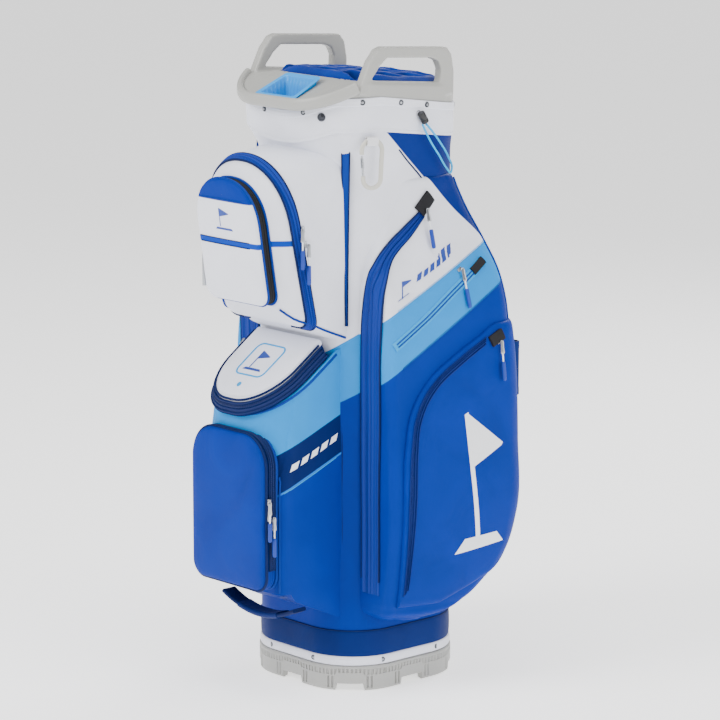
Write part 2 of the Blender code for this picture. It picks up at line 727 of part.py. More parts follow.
def make_ball_pocket(paints):
    """A tray that reaches into the module, with a round-topped flap that folds down in front."""
    front = BALL_FACE + BALL_DOOR + GAP
    pocket = loft("ball_pocket", [ball_panel(0, LOWER_FRONT - GAP), ball_panel(0, front)], paints["royal"])
    inner_low = BALL_LOW + BALL_WALL
    inner_high = BALL_TOP - BALL_WALL
    inner_half = BALL_HALF - BALL_WALL
    join(pocket, box("ball_tray", (-inner_half, LOWER_FRONT - 0.004, inner_low),
                     (inner_half, LOWER_FRONT + BALL_TRAY, inner_high)))
    cut(pocket, box("ball_hollow", (-inner_half + 0.0025, -0.30, inner_low + 0.0025),
                    (inner_half - 0.0025, LOWER_FRONT + BALL_TRAY - 0.0025, inner_high - 0.0025)))
    loft("ball_pocket_flap", [
        ball_panel(0.0005, BALL_FACE + BALL_DOOR), ball_panel(0.0015, BALL_FACE + 0.0015),
        ball_panel(0.005, BALL_FACE),
    ], paints["royal"])


def make_grab_handle(paint):
    """A strip of webbing bowed under the lower module, from flank to flank."""
    steps = 16
    reach = GRAB_HALF
    top = under(GRAB_Y + GRAB_WIDE / 2) - GAP
    rings = []
    for k in range(steps + 1):
        share = -1 + 2 * k / steps
        drop = GRAB_DROP * (1 - share**2)
        along = math.atan2(2 * share * GRAB_DROP, reach)
        across = Vector((math.sin(along), 0, -math.cos(along))) * GRAB_THICK
        middle = Vector((share * reach, 0, top - drop))
        rings.append([
            middle + Vector((0, GRAB_Y - GRAB_WIDE / 2, 0)),
            middle + Vector((0, GRAB_Y + GRAB_WIDE / 2, 0)),
            middle + across + Vector((0, GRAB_Y + GRAB_WIDE / 2, 0)),
            middle + across + Vector((0, GRAB_Y - GRAB_WIDE / 2, 0)),
        ])
    return loft("grab_handle", rings, paint)


# ================================================================ side pockets
def side_levels():
    """(height, how far out as a share of SIDE_DEEP, how far back, front) from the bottom up."""
    return [
        (0.1080, 0.790, 0.004, SIDE_FRONT + 0.016),
        (0.1160, 0.880, 0.030, SIDE_FRONT + 0.004),
        (0.1300, 0.915, 0.062, SIDE_FRONT),
        (0.1520, 0.940, 0.092, SIDE_FRONT),
        (0.1900, 0.965, 0.119, SIDE_FRONT),
        (0.2500, 0.990, SIDE_BACK - 0.004, SIDE_FRONT),
        (0.3550, 0.975, SIDE_BACK, SIDE_FRONT),
        (0.5000, 0.930, SIDE_BACK, SIDE_FRONT),
        (0.5550, 0.895, SIDE_BACK - 0.001, SIDE_FRONT),
        (0.5980, 0.825, SIDE_BACK - 0.004, SIDE_FRONT + 0.002),
        (0.6350, 0.715, SIDE_BACK - 0.009, SIDE_FRONT + 0.010),
        (0.6800, 0.605, SIDE_BACK - 0.022, SIDE_FRONT + 0.028),
        (0.7300, 0.580, SIDE_BACK - 0.045, SIDE_FRONT + 0.045),
    ]


def side_rings(grow):
    """Plan rings of the right side pocket: a front corner, a rounded rear corner, a root in the tube."""
    rings = []
    for height, share, back, front in side_levels():
        deep = SIDE_DEEP * share + grow
        near = deep - 0.022 * min(1.0, 6 * max(0.0, share - 0.58))
        front = front - grow
        back = back + grow
        ring = [(0.070, front + 0.020)]
        for k in range(5):
            angle = math.radians(-90 + 15 + 15 * k)
            ring.append((near - 0.018 + 0.018 * math.cos(angle), front + 0.018 + 0.018 * math.sin(angle)))
        ring.append(((near + deep) / 2 + 0.004, (front + back) / 2))
        for k in range(7):
            angle = math.radians(5 + 15 * k)
            ring.append((deep - 0.033 + 0.033 * math.cos(angle), back - 0.033 + 0.033 * math.sin(angle)))
        ring.append((0.060, min(back - 0.006, 0.112)))
        ring.append((0.050, 0.000))
        lift = grow if height > 0.5 else -grow
        rings.append([(x, y, height + lift) for x, y in ring])
    return rings


def pouch_outline():
    """(y, z) outline of the lower side pouch: a zip line that climbs towards the back."""
    return [
        (SIDE_FRONT + 0.013, 0.126), (POUCH_BACK - 0.085, 0.126), (POUCH_BACK - 0.040, 0.150),
        (POUCH_BACK - 0.010, 0.200), (POUCH_BACK, 0.240), (POUCH_BACK, 0.518), (0.060, 0.496),
        (0.029, 0.477), (-0.011, 0.452),
        (-0.038, 0.429), (-0.057, 0.403), (-0.063, 0.360), (-0.067, 0.260),
    ]


def make_side_pockets(paints):
    for side, word in ((1, "right"), (-1, "left")):

        def rings(grow):
            return side_rings(grow) if side > 0 else mirror_points(side_rings(grow))

        pocket = loft("side_pocket_" + word, rings(0), paints["royal"])
        cut(pocket, tube_cutter("side_tube_" + word, GAP))
        pouch = loft("side_pouch_" + word, rings(POUCH_RAISE), paints["royal"])
        x_low, x_high = sorted((side * 0.130, side * 0.30))
        keep_inside(pouch, side_prism("pouch_shape_" + word, pouch_outline(), x_low, x_high))
        cut(pouch, loft("pouch_back_" + word, rings(GAP), None))


# ================================================================ umbrella sleeve and its cord
def make_sleeve(paint):
    near = SIDE_BACK + GAP
    outer = outline(SLEEVE_HALF, 0.0, SLEEVE_DEEP, 0.002, 0.008, steps=4, middle=1)
    inner = outline(SLEEVE_HALF - SLEEVE_WALL, SLEEVE_WALL, SLEEVE_DEEP - SLEEVE_WALL, 0.001, 0.006,
                    steps=4, middle=1)
    rings = []
    for plan, height in ((outer, SLEEVE_LOW), (outer, SLEEVE_HIGH),
                         (inner, SLEEVE_HIGH), (inner, SLEEVE_LOW)):
        rings.append([(SLEEVE_X + x, near + y, height) for x, y in plan])
    return loft("umbrella_sleeve", rings, paint, closed=True)


def smooth_points(route, count):
    """Points along a Catmull-Rom curve through the route's own points."""
    route = [Vector(point) for point in route]
    padded = [2 * route[0] - route[1]] + route + [2 * route[-1] - route[-2]]
    points = []
    for k in range(count + 1):
        place = (len(route) - 1) * k / count
        first = min(int(place), len(route) - 2)
        t = place - first
        p0, p1, p2, p3 = padded[first:first + 4]
        points.append(0.5 * (2 * p1 + (p2 - p0) * t + (2 * p0 - 5 * p1 + 4 * p2 - p3) * t**2
                             + (3 * p1 - p0 - 3 * p2 + p3) * t**3))
    return points


CORD_ROUTE = (
    (0.1310, 0.0100, 0.8118),
    (0.1320, 0.0225, 0.7900),
    (0.1305, 0.0435, 0.7640),
    (0.1282, 0.0605, 0.7440),
    (0.1270, 0.0690, 0.7375),
    (0.1262, 0.0720, 0.7440),
    (0.1272, 0.0635, 0.7610),
    (0.1295, 0.0440, 0.7850),
    (0.1312, 0.0240, 0.8055),
    (0.1310, 0.0172, 0.8120),
)


def make_cord(paints):
    """The elastic loop that holds an umbrella, and the barrel lock that it comes out of."""
    curve = bpy.data.curves.new("umbrella_cord", "CURVE")
    curve.dimensions = "3D"
    curve.bevel_depth = CORD_RADIUS
    curve.bevel_resolution = 2
    curve.use_fill_caps = True
    points = smooth_points(CORD_ROUTE, 44)
    spline = curve.splines.new("POLY")
    spline.points.add(len(points) - 1)
    for spot, point in zip(spline.points, points):
        spot.co = (*point, 1.0)
    cord = bpy.data.objects.new("umbrella_cord", curve)
    bpy.context.scene.collection.objects.link(cord)
    curve.materials.append(paints["cyan"])
    box("cord_lock", LOCK_LOW, LOCK_HIGH, paints["black"])


# ================================================================ towel clip
def clip_matrix():
    """Places clip shapes: local X across the clip, local Y away from the bag, local Z up."""
    up = Vector((0, 0, 1))
    out = Vector((math.sin(CLIP_TURN), -math.cos(CLIP_TURN), 0))
    place = Matrix((out.cross(up), out, up)).transposed().to_4x4()
    place.translation = Vector((CLIP_AT[0], CLIP_AT[1], CLIP_PIVOT))
    return place


def swept(name, path, radius, paint, sides=8):
    """A round wire along a flat path in local X and Z."""
    rings = []
    for k, point in enumerate(path):
        before = path[max(k - 1, 0)]
        after = path[min(k + 1, len(path) - 1)]
        along = Vector((after[0] - before[0], 0, after[1] - before[1])).normalized()
        across = Vector((along.z, 0, -along.x))
        ring = []
        for m in range(sides):
            angle = 2 * math.pi * m / sides
            ring.append(Vector((point[0], 0, point[1])) + across * radius * math.cos(angle)
                        + Vector((0, radius * math.sin(angle), 0)))
        rings.append(ring)
    return loft(name, rings, paint)


def make_clip(paints):
    place = clip_matrix()
    half = CLIP_WIDE / 2 - CLIP_WIRE
    top = 0.0
    bottom = -CLIP_TALL + 2 * CLIP_WIRE
    round_top, round_low = half, half * 0.86
    path = []
    gate_low = bottom + 0.017
    gate_high = top - 0.020
    for k in range(13):
        angle = math.radians(180 * k / 12)
        path.append((half * math.cos(angle), top - round_top + round_top * math.sin(angle)))
    for k in range(13):
        angle = math.radians(-180 * k / 12)
        path.append((-half * 0.86 * math.cos(angle), bottom + round_low + round_low * math.sin(angle)))
    path = [(half, gate_high + 0.0002)] + path + [(half * 0.86, gate_low)]
    body = swept("carabiner_body", path, CLIP_WIRE, paints["steel"])
    body.matrix_world = place
    gate = swept("carabiner_gate", [(half, gate_high - 0.0020), (half * 0.86, gate_low + 0.0006)],
                 CLIP_WIRE * 0.8, paints["steel"])
    gate.matrix_world = place
    inner, outer = 0.0054, 0.0054 + TAB_THICK
    lift = -CLIP_WIRE / 2
    loop = []
    for radius, order in ((outer, range(17)), (inner, range(16, -1, -1))):
        for k in order:
            angle = math.radians(115 + 300 * k / 16)
            loop.append((radius * math.cos(angle), lift + radius * math.sin(angle)))
    rings = [[(x, y, z) for y, z in loop] for x in (-TAB_WIDE / 2, TAB_WIDE / 2)]
    tab = loft("clip_tab", rings, paints["webbing"])
    tab.matrix_world = place


# ================================================================ zip sliders and their pulls
def touch(target, start, towards):
    """Where a straight line first meets a finished piece, and the way the surface faces there."""
    bpy.context.view_layer.update()
    solid = target.evaluated_get(bpy.context.evaluated_depsgraph_get())
    start, towards = Vector(start), Vector(towards).normalized()
    met, spot, facing, _ = solid.ray_cast(start, towards)
    if not met:
        raise ValueError("no surface of %s there" % target.name)
    return spot, facing


def slider_shape(name, spot, out, along, paint):
    """A small wedge-topped block that rides a zip."""
    along = (along - out * along.dot(out)).normalized()
    across = along.cross(out).normalized()
    wide, thick, tall = SLIDER
    rings = []
    for lift, share in ((SLIDER_OFF, 1.0), (SLIDER_OFF + thick, 0.7)):
        corners = ((-1, -1), (1, -1), (1, 1), (-1, 1))
        rings.append([spot + out * lift + across * (a * share * wide / 2) + along * (b * tall / 2)
                      for a, b in corners])
    return loft(name, rings, paint)


def hang(target, spot, out, start, towards, length):
    """Direction in which a pull hangs: down, or along the cloth where that slopes outwards below it."""
    if out.z < 0.02:
        return Vector((0, 0, -1))
    foot, foot_out = touch(target, Vector(start) - Vector((0, 0, 0.9 * length)), towards)
    return (foot + foot_out * 0.002 - spot).normalized()


def make_slider(target, name, start, towards, along, paints, loose_pull, aside=0.0,
                length=PULLER_LENGTH):
    """A slider where a line meets the cloth, with its pull, which may hang a little to one side."""
    spot, out = touch(target, start, towards)
    down = hang(target, spot, out, start, towards, length)
    flat = Vector((out.x, out.y, 0)).normalized()
    block = slider_shape(name + "_slider", spot, out, Vector(along), paints["metal"])
    if loose_pull:
        lead = spot + out * (SLIDER_OFF + SLIDER[1]) + flat * (SLIDE + PULLER_RADIUS)
        lead = lead + Vector((-flat.y, flat.x, 0)) * aside
        rod(name + "_pull", lead, lead + down * length, PULLER_RADIUS, paints["royal"], sides=6)
        return
    middle = spot + out * (SLIDER_OFF + SLIDER[1] / 2 + PULLER_RADIUS)
    join(block, rod(name + "_tail", middle - down * 0.002, middle + down * length, PULLER_RADIUS,
                    None, sides=6))


def make_sliders(paints):
    pieces = bpy.data.objects
    upper, ball = pieces["upper_pocket_body"], pieces["ball_pocket"]
    split = (0.0, -SPLIT_SLANT, 1.0)
    for name, height, aside in (("upper_zip_top", 0.678, -0.003), ("upper_zip_low", 0.656, 0.003)):
        y = SPLIT_AT - SPLIT_SLANT * (height - UPPER_LEVEL) + 0.009
        make_slider(upper, name, (0.3, y, height), (-1, 0, 0), split, paints, True, aside)
    for name, height, aside in (("ball_zip_top", 0.297, -0.004), ("ball_zip_low", 0.274, 0.004)):
        y = BALL_FACE + BALL_DOOR + 0.002
        make_slider(ball, name, (0.3, y, height), (-1, 0, 0), (0, 0, 1), paints, True, aside)
    for side, word in ((1, "right"), (-1, "left")):
        pocket, pouch = pieces["side_pocket_" + word], pieces["side_pouch_" + word]
        loose = side > 0
        make_slider(pocket, "side_zip_" + word, (side * 0.3, 0.018, 0.690), (-side, 0, 0),
                    (0, 0.6, 0.8), paints, loose)
        make_slider(pocket, "band_zip_" + word, (side * 0.4, 0.052, 0.603), (-side, 0, 0),
                    (0, 0.85, 0.53), paints, loose)
        make_slider(pouch, "pouch_zip_" + word, (side * 0.4, 0.098, 0.500), (-side, 0, 0),
                    (0, 0.9, 0.43), paints, loose)
    make_slider(pieces["cooler_lid"], "lid_zip", (-0.3, -0.140, lid_top(-0.140) - LID_THICK / 2), (1, 0, 0),
                (0, 0.85, 0.52), paints, False, length=LID_PULL)
    make_slider(pieces["valuables_pocket"], "valuables_zip",
                (-0.3, FACE_AT + DOOR_THICK + 0.004 - FACE_SLANT * 0.110, 0.640), (1, 0, 0),
                (0, -FACE_SLANT, 1), paints, False)


# ================================================================ shoulder strap at the back
def make_strap(paints):
    """A padded shoulder strap that lies against the back, and its webbing up to the cuff."""
    near = TUBE_HALF + 0.0040
    steps = 10
    rings = []
    for k in range(steps + 1):
        share = k / steps
        height = PAD_LOW + share * (PAD_HIGH - PAD_LOW)
        ends = max(0.35, min(1.0, 6 * min(share, 1 - share) + 0.35))
        half = PAD_HALF * (0.55 + 0.45 * min(1.0, 5 * min(share, 1 - share)))
        bow = 0.010 * math.sin(math.pi * share)
        plan = outline(half, 0.0, PAD_THICK * ends, 0.0035 * ends, 0.0035 * ends, steps=2, middle=0)
        rings.append([(x, near + bow + y, height) for x, y in plan])
    loft("strap_pad", rings, paints["navy"])
    for name, low, high in (("strap_webbing_low", WEB_LOW, PAD_LOW - GAP),
                            ("strap_webbing_high", PAD_HIGH + GAP, WEB_HIGH)):
        box(name, (-WEB_HALF, near, low), (WEB_HALF, near + WEB_THICK, high), paints["webbing"])
    for name, height in (("strap_anchor_low", WEB_LOW + 0.012), ("strap_anchor_high", WEB_HIGH - 0.012)):
        box(name, (-WEB_HALF - 0.003, TUBE_HALF + GAP + LOWER_CUFF_THICK, height - 0.014),
            (WEB_HALF + 0.003, near - GAP, height + 0.014), paints["royal"])


# ================================================================ the whole bag
def main():
    for thing in list(bpy.data.objects):
        bpy.data.objects.remove(thing, do_unlink=True)
    paints = make_materials()
    make_base(paints["grey"])
    make_tube(paints)
    make_upper_cuff(paints["white"])
    make_collar(paints["grey"])
    make_putter_well(paints["cyan"])
    make_grid(paints["navy"])
    make_sheets_and_stays(paints)
    make_upper_pocket(paints)
    make_valuables_pocket(paints)
    make_cooler(paints)
    make_ball_pocket(paints)
    make_grab_handle(paints["webbing"])
    make_side_pockets(paints)
    make_sleeve(paints["navy"])
    make_cord(paints)
    make_clip(paints)
    make_strap(paints)
    make_sliders(paints)


main()
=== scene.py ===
"""Golf cart bag: cloth, mouldings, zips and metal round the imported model, with a plain studio.

Metres, in the model's own frame: +Z up, the pocket stack faces -Y and the right side pocket is at +X.
"""

import math

import bmesh
import bpy
import numpy as np
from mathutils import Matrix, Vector
from mathutils.bvhtree import BVHTree


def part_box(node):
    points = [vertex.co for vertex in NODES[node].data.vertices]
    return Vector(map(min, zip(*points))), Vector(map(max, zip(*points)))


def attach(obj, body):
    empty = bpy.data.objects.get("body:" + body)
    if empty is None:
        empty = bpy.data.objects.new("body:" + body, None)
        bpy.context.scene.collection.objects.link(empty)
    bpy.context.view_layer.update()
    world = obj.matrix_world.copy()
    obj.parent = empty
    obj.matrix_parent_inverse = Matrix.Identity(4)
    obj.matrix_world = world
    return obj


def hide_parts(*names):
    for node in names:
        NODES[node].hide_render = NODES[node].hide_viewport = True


bl_info = {
    "name": "Golf cart bag",
    "version": (1, 0, 0),
    "blender": (4, 5, 0),
    "location": "View3D > Sidebar > Golf bag",
    "description": "Builds the cloth, mouldings and zips of a golf cart bag round its packed model",
    "category": "Object",
}

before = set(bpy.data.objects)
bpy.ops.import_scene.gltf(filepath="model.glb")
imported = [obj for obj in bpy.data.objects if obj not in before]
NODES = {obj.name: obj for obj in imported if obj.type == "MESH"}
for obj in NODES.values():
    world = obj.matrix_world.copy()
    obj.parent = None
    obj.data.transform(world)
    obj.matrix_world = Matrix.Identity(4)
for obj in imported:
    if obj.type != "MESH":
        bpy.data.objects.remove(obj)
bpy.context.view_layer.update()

# ---------------------------------------------------------------- shared sizes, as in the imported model
TUBE_HALF = 0.120
TUBE_CORNER = 0.080
FACE_SLANT = 0.16
UPPER_LEVEL = 0.53
LID_FRONT = -0.238
LID_BACK = -0.1245
LID_SLOPE = 0.69
LID_FRONT_TOP = 0.434
AROUND = 288  # points round a ring
SENSOR_WIDTH = 36.0  # millimetres
VIEW_WIDTH = 1.0419681620839363  # metres across the view at the bag
SETTLE_CAP = 0.0030  # furthest that a settling point may go


# ================================================================ numbers
def linear(code):
    """A colour from its sRGB hex value, as linear red, green, blue and 1."""
    parts = np.array([int(code[k:k + 2], 16) for k in (1, 3, 5)]) / 255
    curve = ((parts + 0.055) / 1.055) ** 2.4
    return (*np.where(parts <= 0.04045, parts / 12.92, curve).tolist(), 1.0)


def smooth_step(low, high, x):
    """0 below low, 1 above high, and 3t^2 - 2t^3 between them."""
    t = np.clip((np.asarray(x, float) - low) / (high - low), 0, 1)
    return t * t * (3 - 2 * t)


def spline(knots, values, at):
    """Cubic Hermite curve through values at knots, each slope the mean one of its neighbours."""
    knots, values, places = np.asarray(knots, float), np.asarray(values, float), np.asarray(at, float)
    at = places.reshape(-1)
    slopes = np.gradient(values, knots, axis=0)
    k = np.clip(np.searchsorted(knots, at) - 1, 0, len(knots) - 2)
    tail = (slice(None),) + (None,) * (values.ndim - 1)
    width = (knots[k + 1] - knots[k])[tail]
    t = ((at - knots[k])[tail]) / width
    curve = ((2 * t**3 - 3 * t**2 + 1) * values[k] + (t**3 - 2 * t**2 + t) * width * slopes[k]
             + (3 * t**2 - 2 * t**3) * values[k + 1] + (t**3 - t**2) * width * slopes[k + 1])
    return curve.reshape(places.shape + values.shape[1:])


def lengths(points):
    """Distance along a line of points, from its start to each point."""
    steps = np.linalg.norm(np.diff(points, axis=0), axis=1)
    return np.concatenate([[0], np.cumsum(steps)])


def evenly(points, count, closed=False):
    """A line of points again, with count points at equal distances along it."""
    points = np.asarray(points, float)
    if closed:
        points = np.concatenate([points, points[:1]])
    along = lengths(points)
    at = np.linspace(0, along[-1], count + 1)[:-1] if closed else np.linspace(0, along[-1], count)
    return np.stack([np.interp(at, along, points[:, k]) for k in range(points.shape[1])], axis=1)


def through(points, count):
    """A smooth line of count points through a few given ones, evenly spaced."""
    points = np.asarray(points, float)
    dense = spline(lengths(points), points, np.linspace(0, lengths(points)[-1], 12 * count))
    return evenly(dense, count)


def ripple(u, v, seed, waves=7, low=6.0, high=28.0):
    """Soft random folds: a mean of sines whose directions and phases come from a seeded draw."""
    draw = np.random.default_rng(seed)
    pitch = draw.uniform(low, high, (2, waves)) * draw.choice([-1, 1], (2, waves))
    phase = draw.uniform(0, 2 * math.pi, waves)
    folds = [np.sin(pitch[0, k] * u + pitch[1, k] * v + phase[k]) for k in range(waves)]
    return np.mean(folds, axis=0)


# ================================================================ outlines
def oblong(half, front, back, corner_front, corner_back, count=AROUND):
    """Rounded rectangle in plan, as count (x, y) points anticlockwise from the middle of its back."""
    turn = np.linspace(0, math.pi / 2, 24)
    arcs = []
    for cx, cy, radius, start in (
        (-half + corner_back, back - corner_back, corner_back, 90),
        (-half + corner_front, front + corner_front, corner_front, 180),
        (half - corner_front, front + corner_front, corner_front, 270),
        (half - corner_back, back - corner_back, corner_back, 0),
    ):
        angle = math.radians(start) + turn
        arcs.append(np.stack([cx + radius * np.cos(angle), cy + radius * np.sin(angle)], axis=1))
    return evenly(np.concatenate([[[0, back]], *arcs]), count, closed=True)


def tube_plan(half, count=AROUND):
    corner = TUBE_CORNER + half - TUBE_HALF
    return oblong(half, -half, half, corner, corner, count)


def arch(half, low, high, power, foot=0.018, count=AROUND):
    """Arched panel as (x, z) points: round feet, upright sides and a superellipse top."""
    turn = np.linspace(0, math.pi / 2, 12)
    right = np.stack([half - foot + foot * np.sin(turn), low + foot - foot * np.cos(turn)], axis=1)
    spring = high - 1.05 * half
    angle = np.linspace(0, math.pi, 97)
    across = np.sign(np.cos(angle)) * np.abs(np.cos(angle)) ** (2 / power)
    top = np.stack([half * across, spring + (high - spring) * np.abs(np.sin(angle)) ** (2 / power)], axis=1)
    left = right[::-1] * (-1, 1)
    return evenly(np.concatenate([[[0, low]], right, top, left]), count, closed=True)


def stand(points, at, slant):
    """Put (x, z) points on the plane that leans forwards by slant per metre above UPPER_LEVEL."""
    return np.stack([points[:, 0], at - slant * (points[:, 1] - UPPER_LEVEL), points[:, 1]], axis=1)


def at_height(points, height):
    """Lift (x, y) points to one height, or to an array of heights."""
    return np.column_stack([points, np.broadcast_to(height, len(points))])


def shrunk(ring, share, shift=(0, 0, 0)):
    """A ring scaled towards its own middle, then moved."""
    middle = ring.mean(0)
    return middle + (ring - middle) * share + np.asarray(shift)


def pillow(ring, out, rise, count=16, power=2.6, edge=1.0):
    """Rings from an outline to its middle, raised by rise * (1 - s^power)^(1/power) at share s of
    its size."""
    shares = np.cos(np.linspace(0, math.pi / 2, count)) ** 0.9 * edge
    lifts = rise * (1 - np.minimum(shares / edge, 1) ** power) ** (1 / power)
    return [shrunk(ring, s, np.asarray(out) * h) for s, h in zip(shares, lifts)]


# ================================================================ meshes
def grid_mesh(name, grid, around=True, along=False):
    """A mesh of quads over a (rows, columns, 3) array, closed round the columns or along the rows.

    Its UV map holds metres: along a row across, and from row to row up.
    """
    grid = np.asarray(grid, float)
    rows, columns = grid.shape[:2]
    row = np.arange(rows if along else rows - 1)[:, None]
    column = np.arange(columns if around else columns - 1)[None, :]
    next_row, next_column = (row + 1) % rows, (column + 1) % columns
    corners = np.stack(np.broadcast_arrays(
        row * columns + column, row * columns + next_column,
        next_row * columns + next_column, next_row * columns + column), axis=-1).reshape(-1, 4)
    mesh = bpy.data.meshes.new(name)
    mesh.vertices.add(rows * columns)
    mesh.vertices.foreach_set("co", grid.reshape(-1))
    mesh.loops.add(corners.size)
    mesh.loops.foreach_set("vertex_index", corners.reshape(-1))
    mesh.polygons.add(len(corners))
    mesh.polygons.foreach_set("loop_start", np.arange(0, corners.size, 4))
    across = np.linalg.norm(np.diff(grid, axis=1, append=grid[:, :1]), axis=2)
    up = np.linalg.norm(np.diff(grid, axis=0, append=grid[:1]), axis=2)
    u = np.concatenate([np.zeros((rows, 1)), np.cumsum(across, axis=1)], axis=1)
    v = np.concatenate([np.zeros((1, columns)), np.cumsum(up, axis=0)], axis=0).mean(axis=1)
    u_corner = np.stack(np.broadcast_arrays(u[row, column], u[row, column + 1],
                                            u[next_row, column + 1], u[next_row, column]), axis=-1)
    v_corner = np.stack(np.broadcast_arrays(v[row], v[row], v[row + 1], v[row + 1]), axis=-1)
    v_corner = np.broadcast_to(v_corner, u_corner.shape)
    mesh.update(calc_edges=True)
    layer = mesh.uv_layers.new(name="cloth")
    layer.data.foreach_set("uv", np.stack([u_corner, v_corner], axis=-1).reshape(-1).astype(np.float32))
    return mesh


def solid(name, grid, paint, around=True, along=False, weld=True, sharp=50, recalc=True):
    """A piece from a grid: its poles and seams are merged, its faces turned out and shaded smooth."""
    mesh = grid_mesh(name, grid, around, along)
    if weld:
        data = bmesh.new()
        data.from_mesh(mesh)
        bmesh.ops.remove_doubles(data, verts=data.verts, dist=1e-6)
        bmesh.ops.dissolve_degenerate(data, edges=data.edges, dist=1e-7)
        if recalc:
            bmesh.ops.recalc_face_normals(data, faces=data.faces)
        data.to_mesh(mesh)
        data.free()
    mesh.materials.append(paint)
    mesh.shade_smooth()
    mesh.set_sharp_from_angle(angle=math.radians(sharp))
    made = bpy.data.objects.new(name, mesh)
    bpy.context.scene.collection.objects.link(made)
    return made


def capped(rings):
    """Rings with a point at each end, so that the skin over them is a closed body."""
    rings = [np.asarray(ring) for ring in rings]
    first = np.broadcast_to(rings[0].mean(0), rings[0].shape)
    last = np.broadcast_to(rings[-1].mean(0), rings[-1].shape)
    return np.stack([first, *rings, last])


def sweep(name, path, normals, profile, paint, closed=False, sharp=50, ends=True):
    """Carry a closed (across, out) profile along a path: each point is the path's, plus across times
    (tangent x normal) plus out times normal."""
    path, profile = np.asarray(path, float), np.asarray(profile, float)
    if closed:
        ahead = np.roll(path, -1, axis=0) - np.roll(path, 1, axis=0)
    else:
        ahead = np.gradient(path, axis=0)
    ahead /= np.linalg.norm(ahead, axis=1, keepdims=True)
    normals = np.broadcast_to(np.asarray(normals, float), path.shape)
    side = np.cross(ahead, normals)
    side /= np.linalg.norm(side, axis=1, keepdims=True)
    out = np.cross(side, ahead)
    rings = path[:, None] + side[:, None] * profile[None, :, :1] + out[:, None] * profile[None, :, 1:]
    grid = rings if closed or not ends else capped(rings)
    return solid(name, grid, paint, along=closed, sharp=sharp)


def circle(radius, count=12, flat=1.0):
    turn = np.linspace(0, 2 * math.pi, count + 1)[:-1]
    return np.stack([radius * np.cos(turn), flat * radius * np.sin(turn)], axis=1)


def strip(width, thick, crown=0.0, count=24):
    """Flat band's profile: thick at its edges and crowned by crown in its middle."""
    across = np.linspace(-width / 2, width / 2, count)
    top = thick + crown * (1 - (2 * across / width) ** 2)
    under = np.full(6, -0.0004)
    return np.concatenate([np.stack([across, top], axis=1),
                           np.stack([np.linspace(width / 2, -width / 2, 6), under], axis=1)])


def zip_profile(width, piping=0.0):
    """A closed zip: two tapes whose inner edges hide the coil, sewn channels beside them, and a piping
    bead on each edge. Height over the cloth is a sum of bumps across the width."""
    across = np.linspace(-width / 2, width / 2, 61)
    half = width / 2
    bead = max(piping, 0.0009)
    height = 0.0007 + 0.0011 * np.exp(-((np.abs(across) - 0.0022) / 0.0016) ** 2)
    height -= 0.0009 * np.exp(-(across / 0.0006) ** 2)
    height -= 0.0006 * np.exp(-((np.abs(across) - (half - 2.4 * bead)) / 0.0007) ** 2)
    edge = np.clip(1 - ((np.abs(across) - (half - bead)) / bead) ** 2, 0, 1)
    height = np.maximum(height, 2 * bead * np.sqrt(edge))
    under = np.stack([np.linspace(half, -half, 8), np.full(8, -0.0008)], axis=1)
    return np.concatenate([np.stack([across, height], axis=1), under])


def land(target, points, towards):
    """Where lines from points along a direction meet a piece, and the way its surface faces there."""
    tree = BVHTree.FromObject(target, bpy.context.evaluated_depsgraph_get())
    towards = np.broadcast_to(np.asarray(towards, float), np.shape(points))
    hits = [tree.ray_cast(Vector(p), Vector(d)) for p, d in zip(points, towards)]
    if any(hit[0] is None for hit in hits):
        missed = [tuple(np.round(p, 4)) for p, hit in zip(points, hits) if hit[0] is None]
        raise ValueError("%s isn't there: %s" % (target.name, missed[:3]))
    return np.array([hit[0] for hit in hits]), np.array([hit[1] for hit in hits])


def eased(values, passes=6):
    """A row of vectors averaged with its neighbours, ends kept."""
    for _ in range(passes):
        middle = (values[:-2] + 2 * values[1:-1] + values[2:]) / 4
        values = np.concatenate([values[:1], middle, values[-1:]])
    return values


def put(piece, body, slot, *replaced):
    """A finished piece rides on a body and stands for CAD nodes; its slot is not used."""
    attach(piece, body)
    if replaced:
        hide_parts(*replaced)
    return piece


def joined(pieces, name):
    """Several loose pieces as one, keeping each one's material."""
    with bpy.context.temp_override(active_object=pieces[0], selected_editable_objects=pieces,
                                   selected_objects=pieces, object=pieces[0]):
        bpy.ops.object.join()
    pieces[0].name = name
    pieces[0].data.name = name
    return pieces[0]


# ================================================================ materials
def add(tree, kind, inputs=None, **settings):
    """One shader node: its settings, and for each input a value or the socket that feeds it."""
    made = tree.nodes.new("ShaderNode" + kind)
    for key, value in settings.items():
        setattr(made, key, value)
    for key, value in (inputs or {}).items():
        if isinstance(value, bpy.types.NodeSocket):
            tree.links.new(value, made.inputs[key])
        else:
            made.inputs[key].default_value = value
    return made


def shader_of(name, **sockets):
    """A new material, its node tree and its Principled shader with the given constant sockets."""
    made = bpy.data.materials.new(name)
    made.use_nodes = True
    shader = made.node_tree.nodes["Principled BSDF"]
    for key, value in sockets.items():
        shader.inputs[key.replace("_", " ")].default_value = value
    return made, made.node_tree, shader


def mirrored_place(tree):
    """Object coordinates with |x|, so that both sides of the bag get the same panels."""
    place = add(tree, "TexCoord").outputs["Object"]
    parts = add(tree, "SeparateXYZ", {"Vector": place})
    away = add(tree, "Math", {0: parts.outputs["X"]}, operation="ABSOLUTE")
    return place, add(tree, "CombineXYZ", {
        "X": away.outputs[0], "Y": parts.outputs["Y"], "Z": parts.outputs["Z"]}).outputs[0]


def beyond(tree, place, normal, distance, soft=0.0005):
    """1 where place . normal is above distance."""
    along = add(tree, "VectorMath", {0: place, 1: normal}, operation="DOT_PRODUCT")
    return add(tree, "MapRange", {"Value": along.outputs["Value"], "From Min": distance - soft,
                                  "From Max": distance + soft}).outputs["Result"]


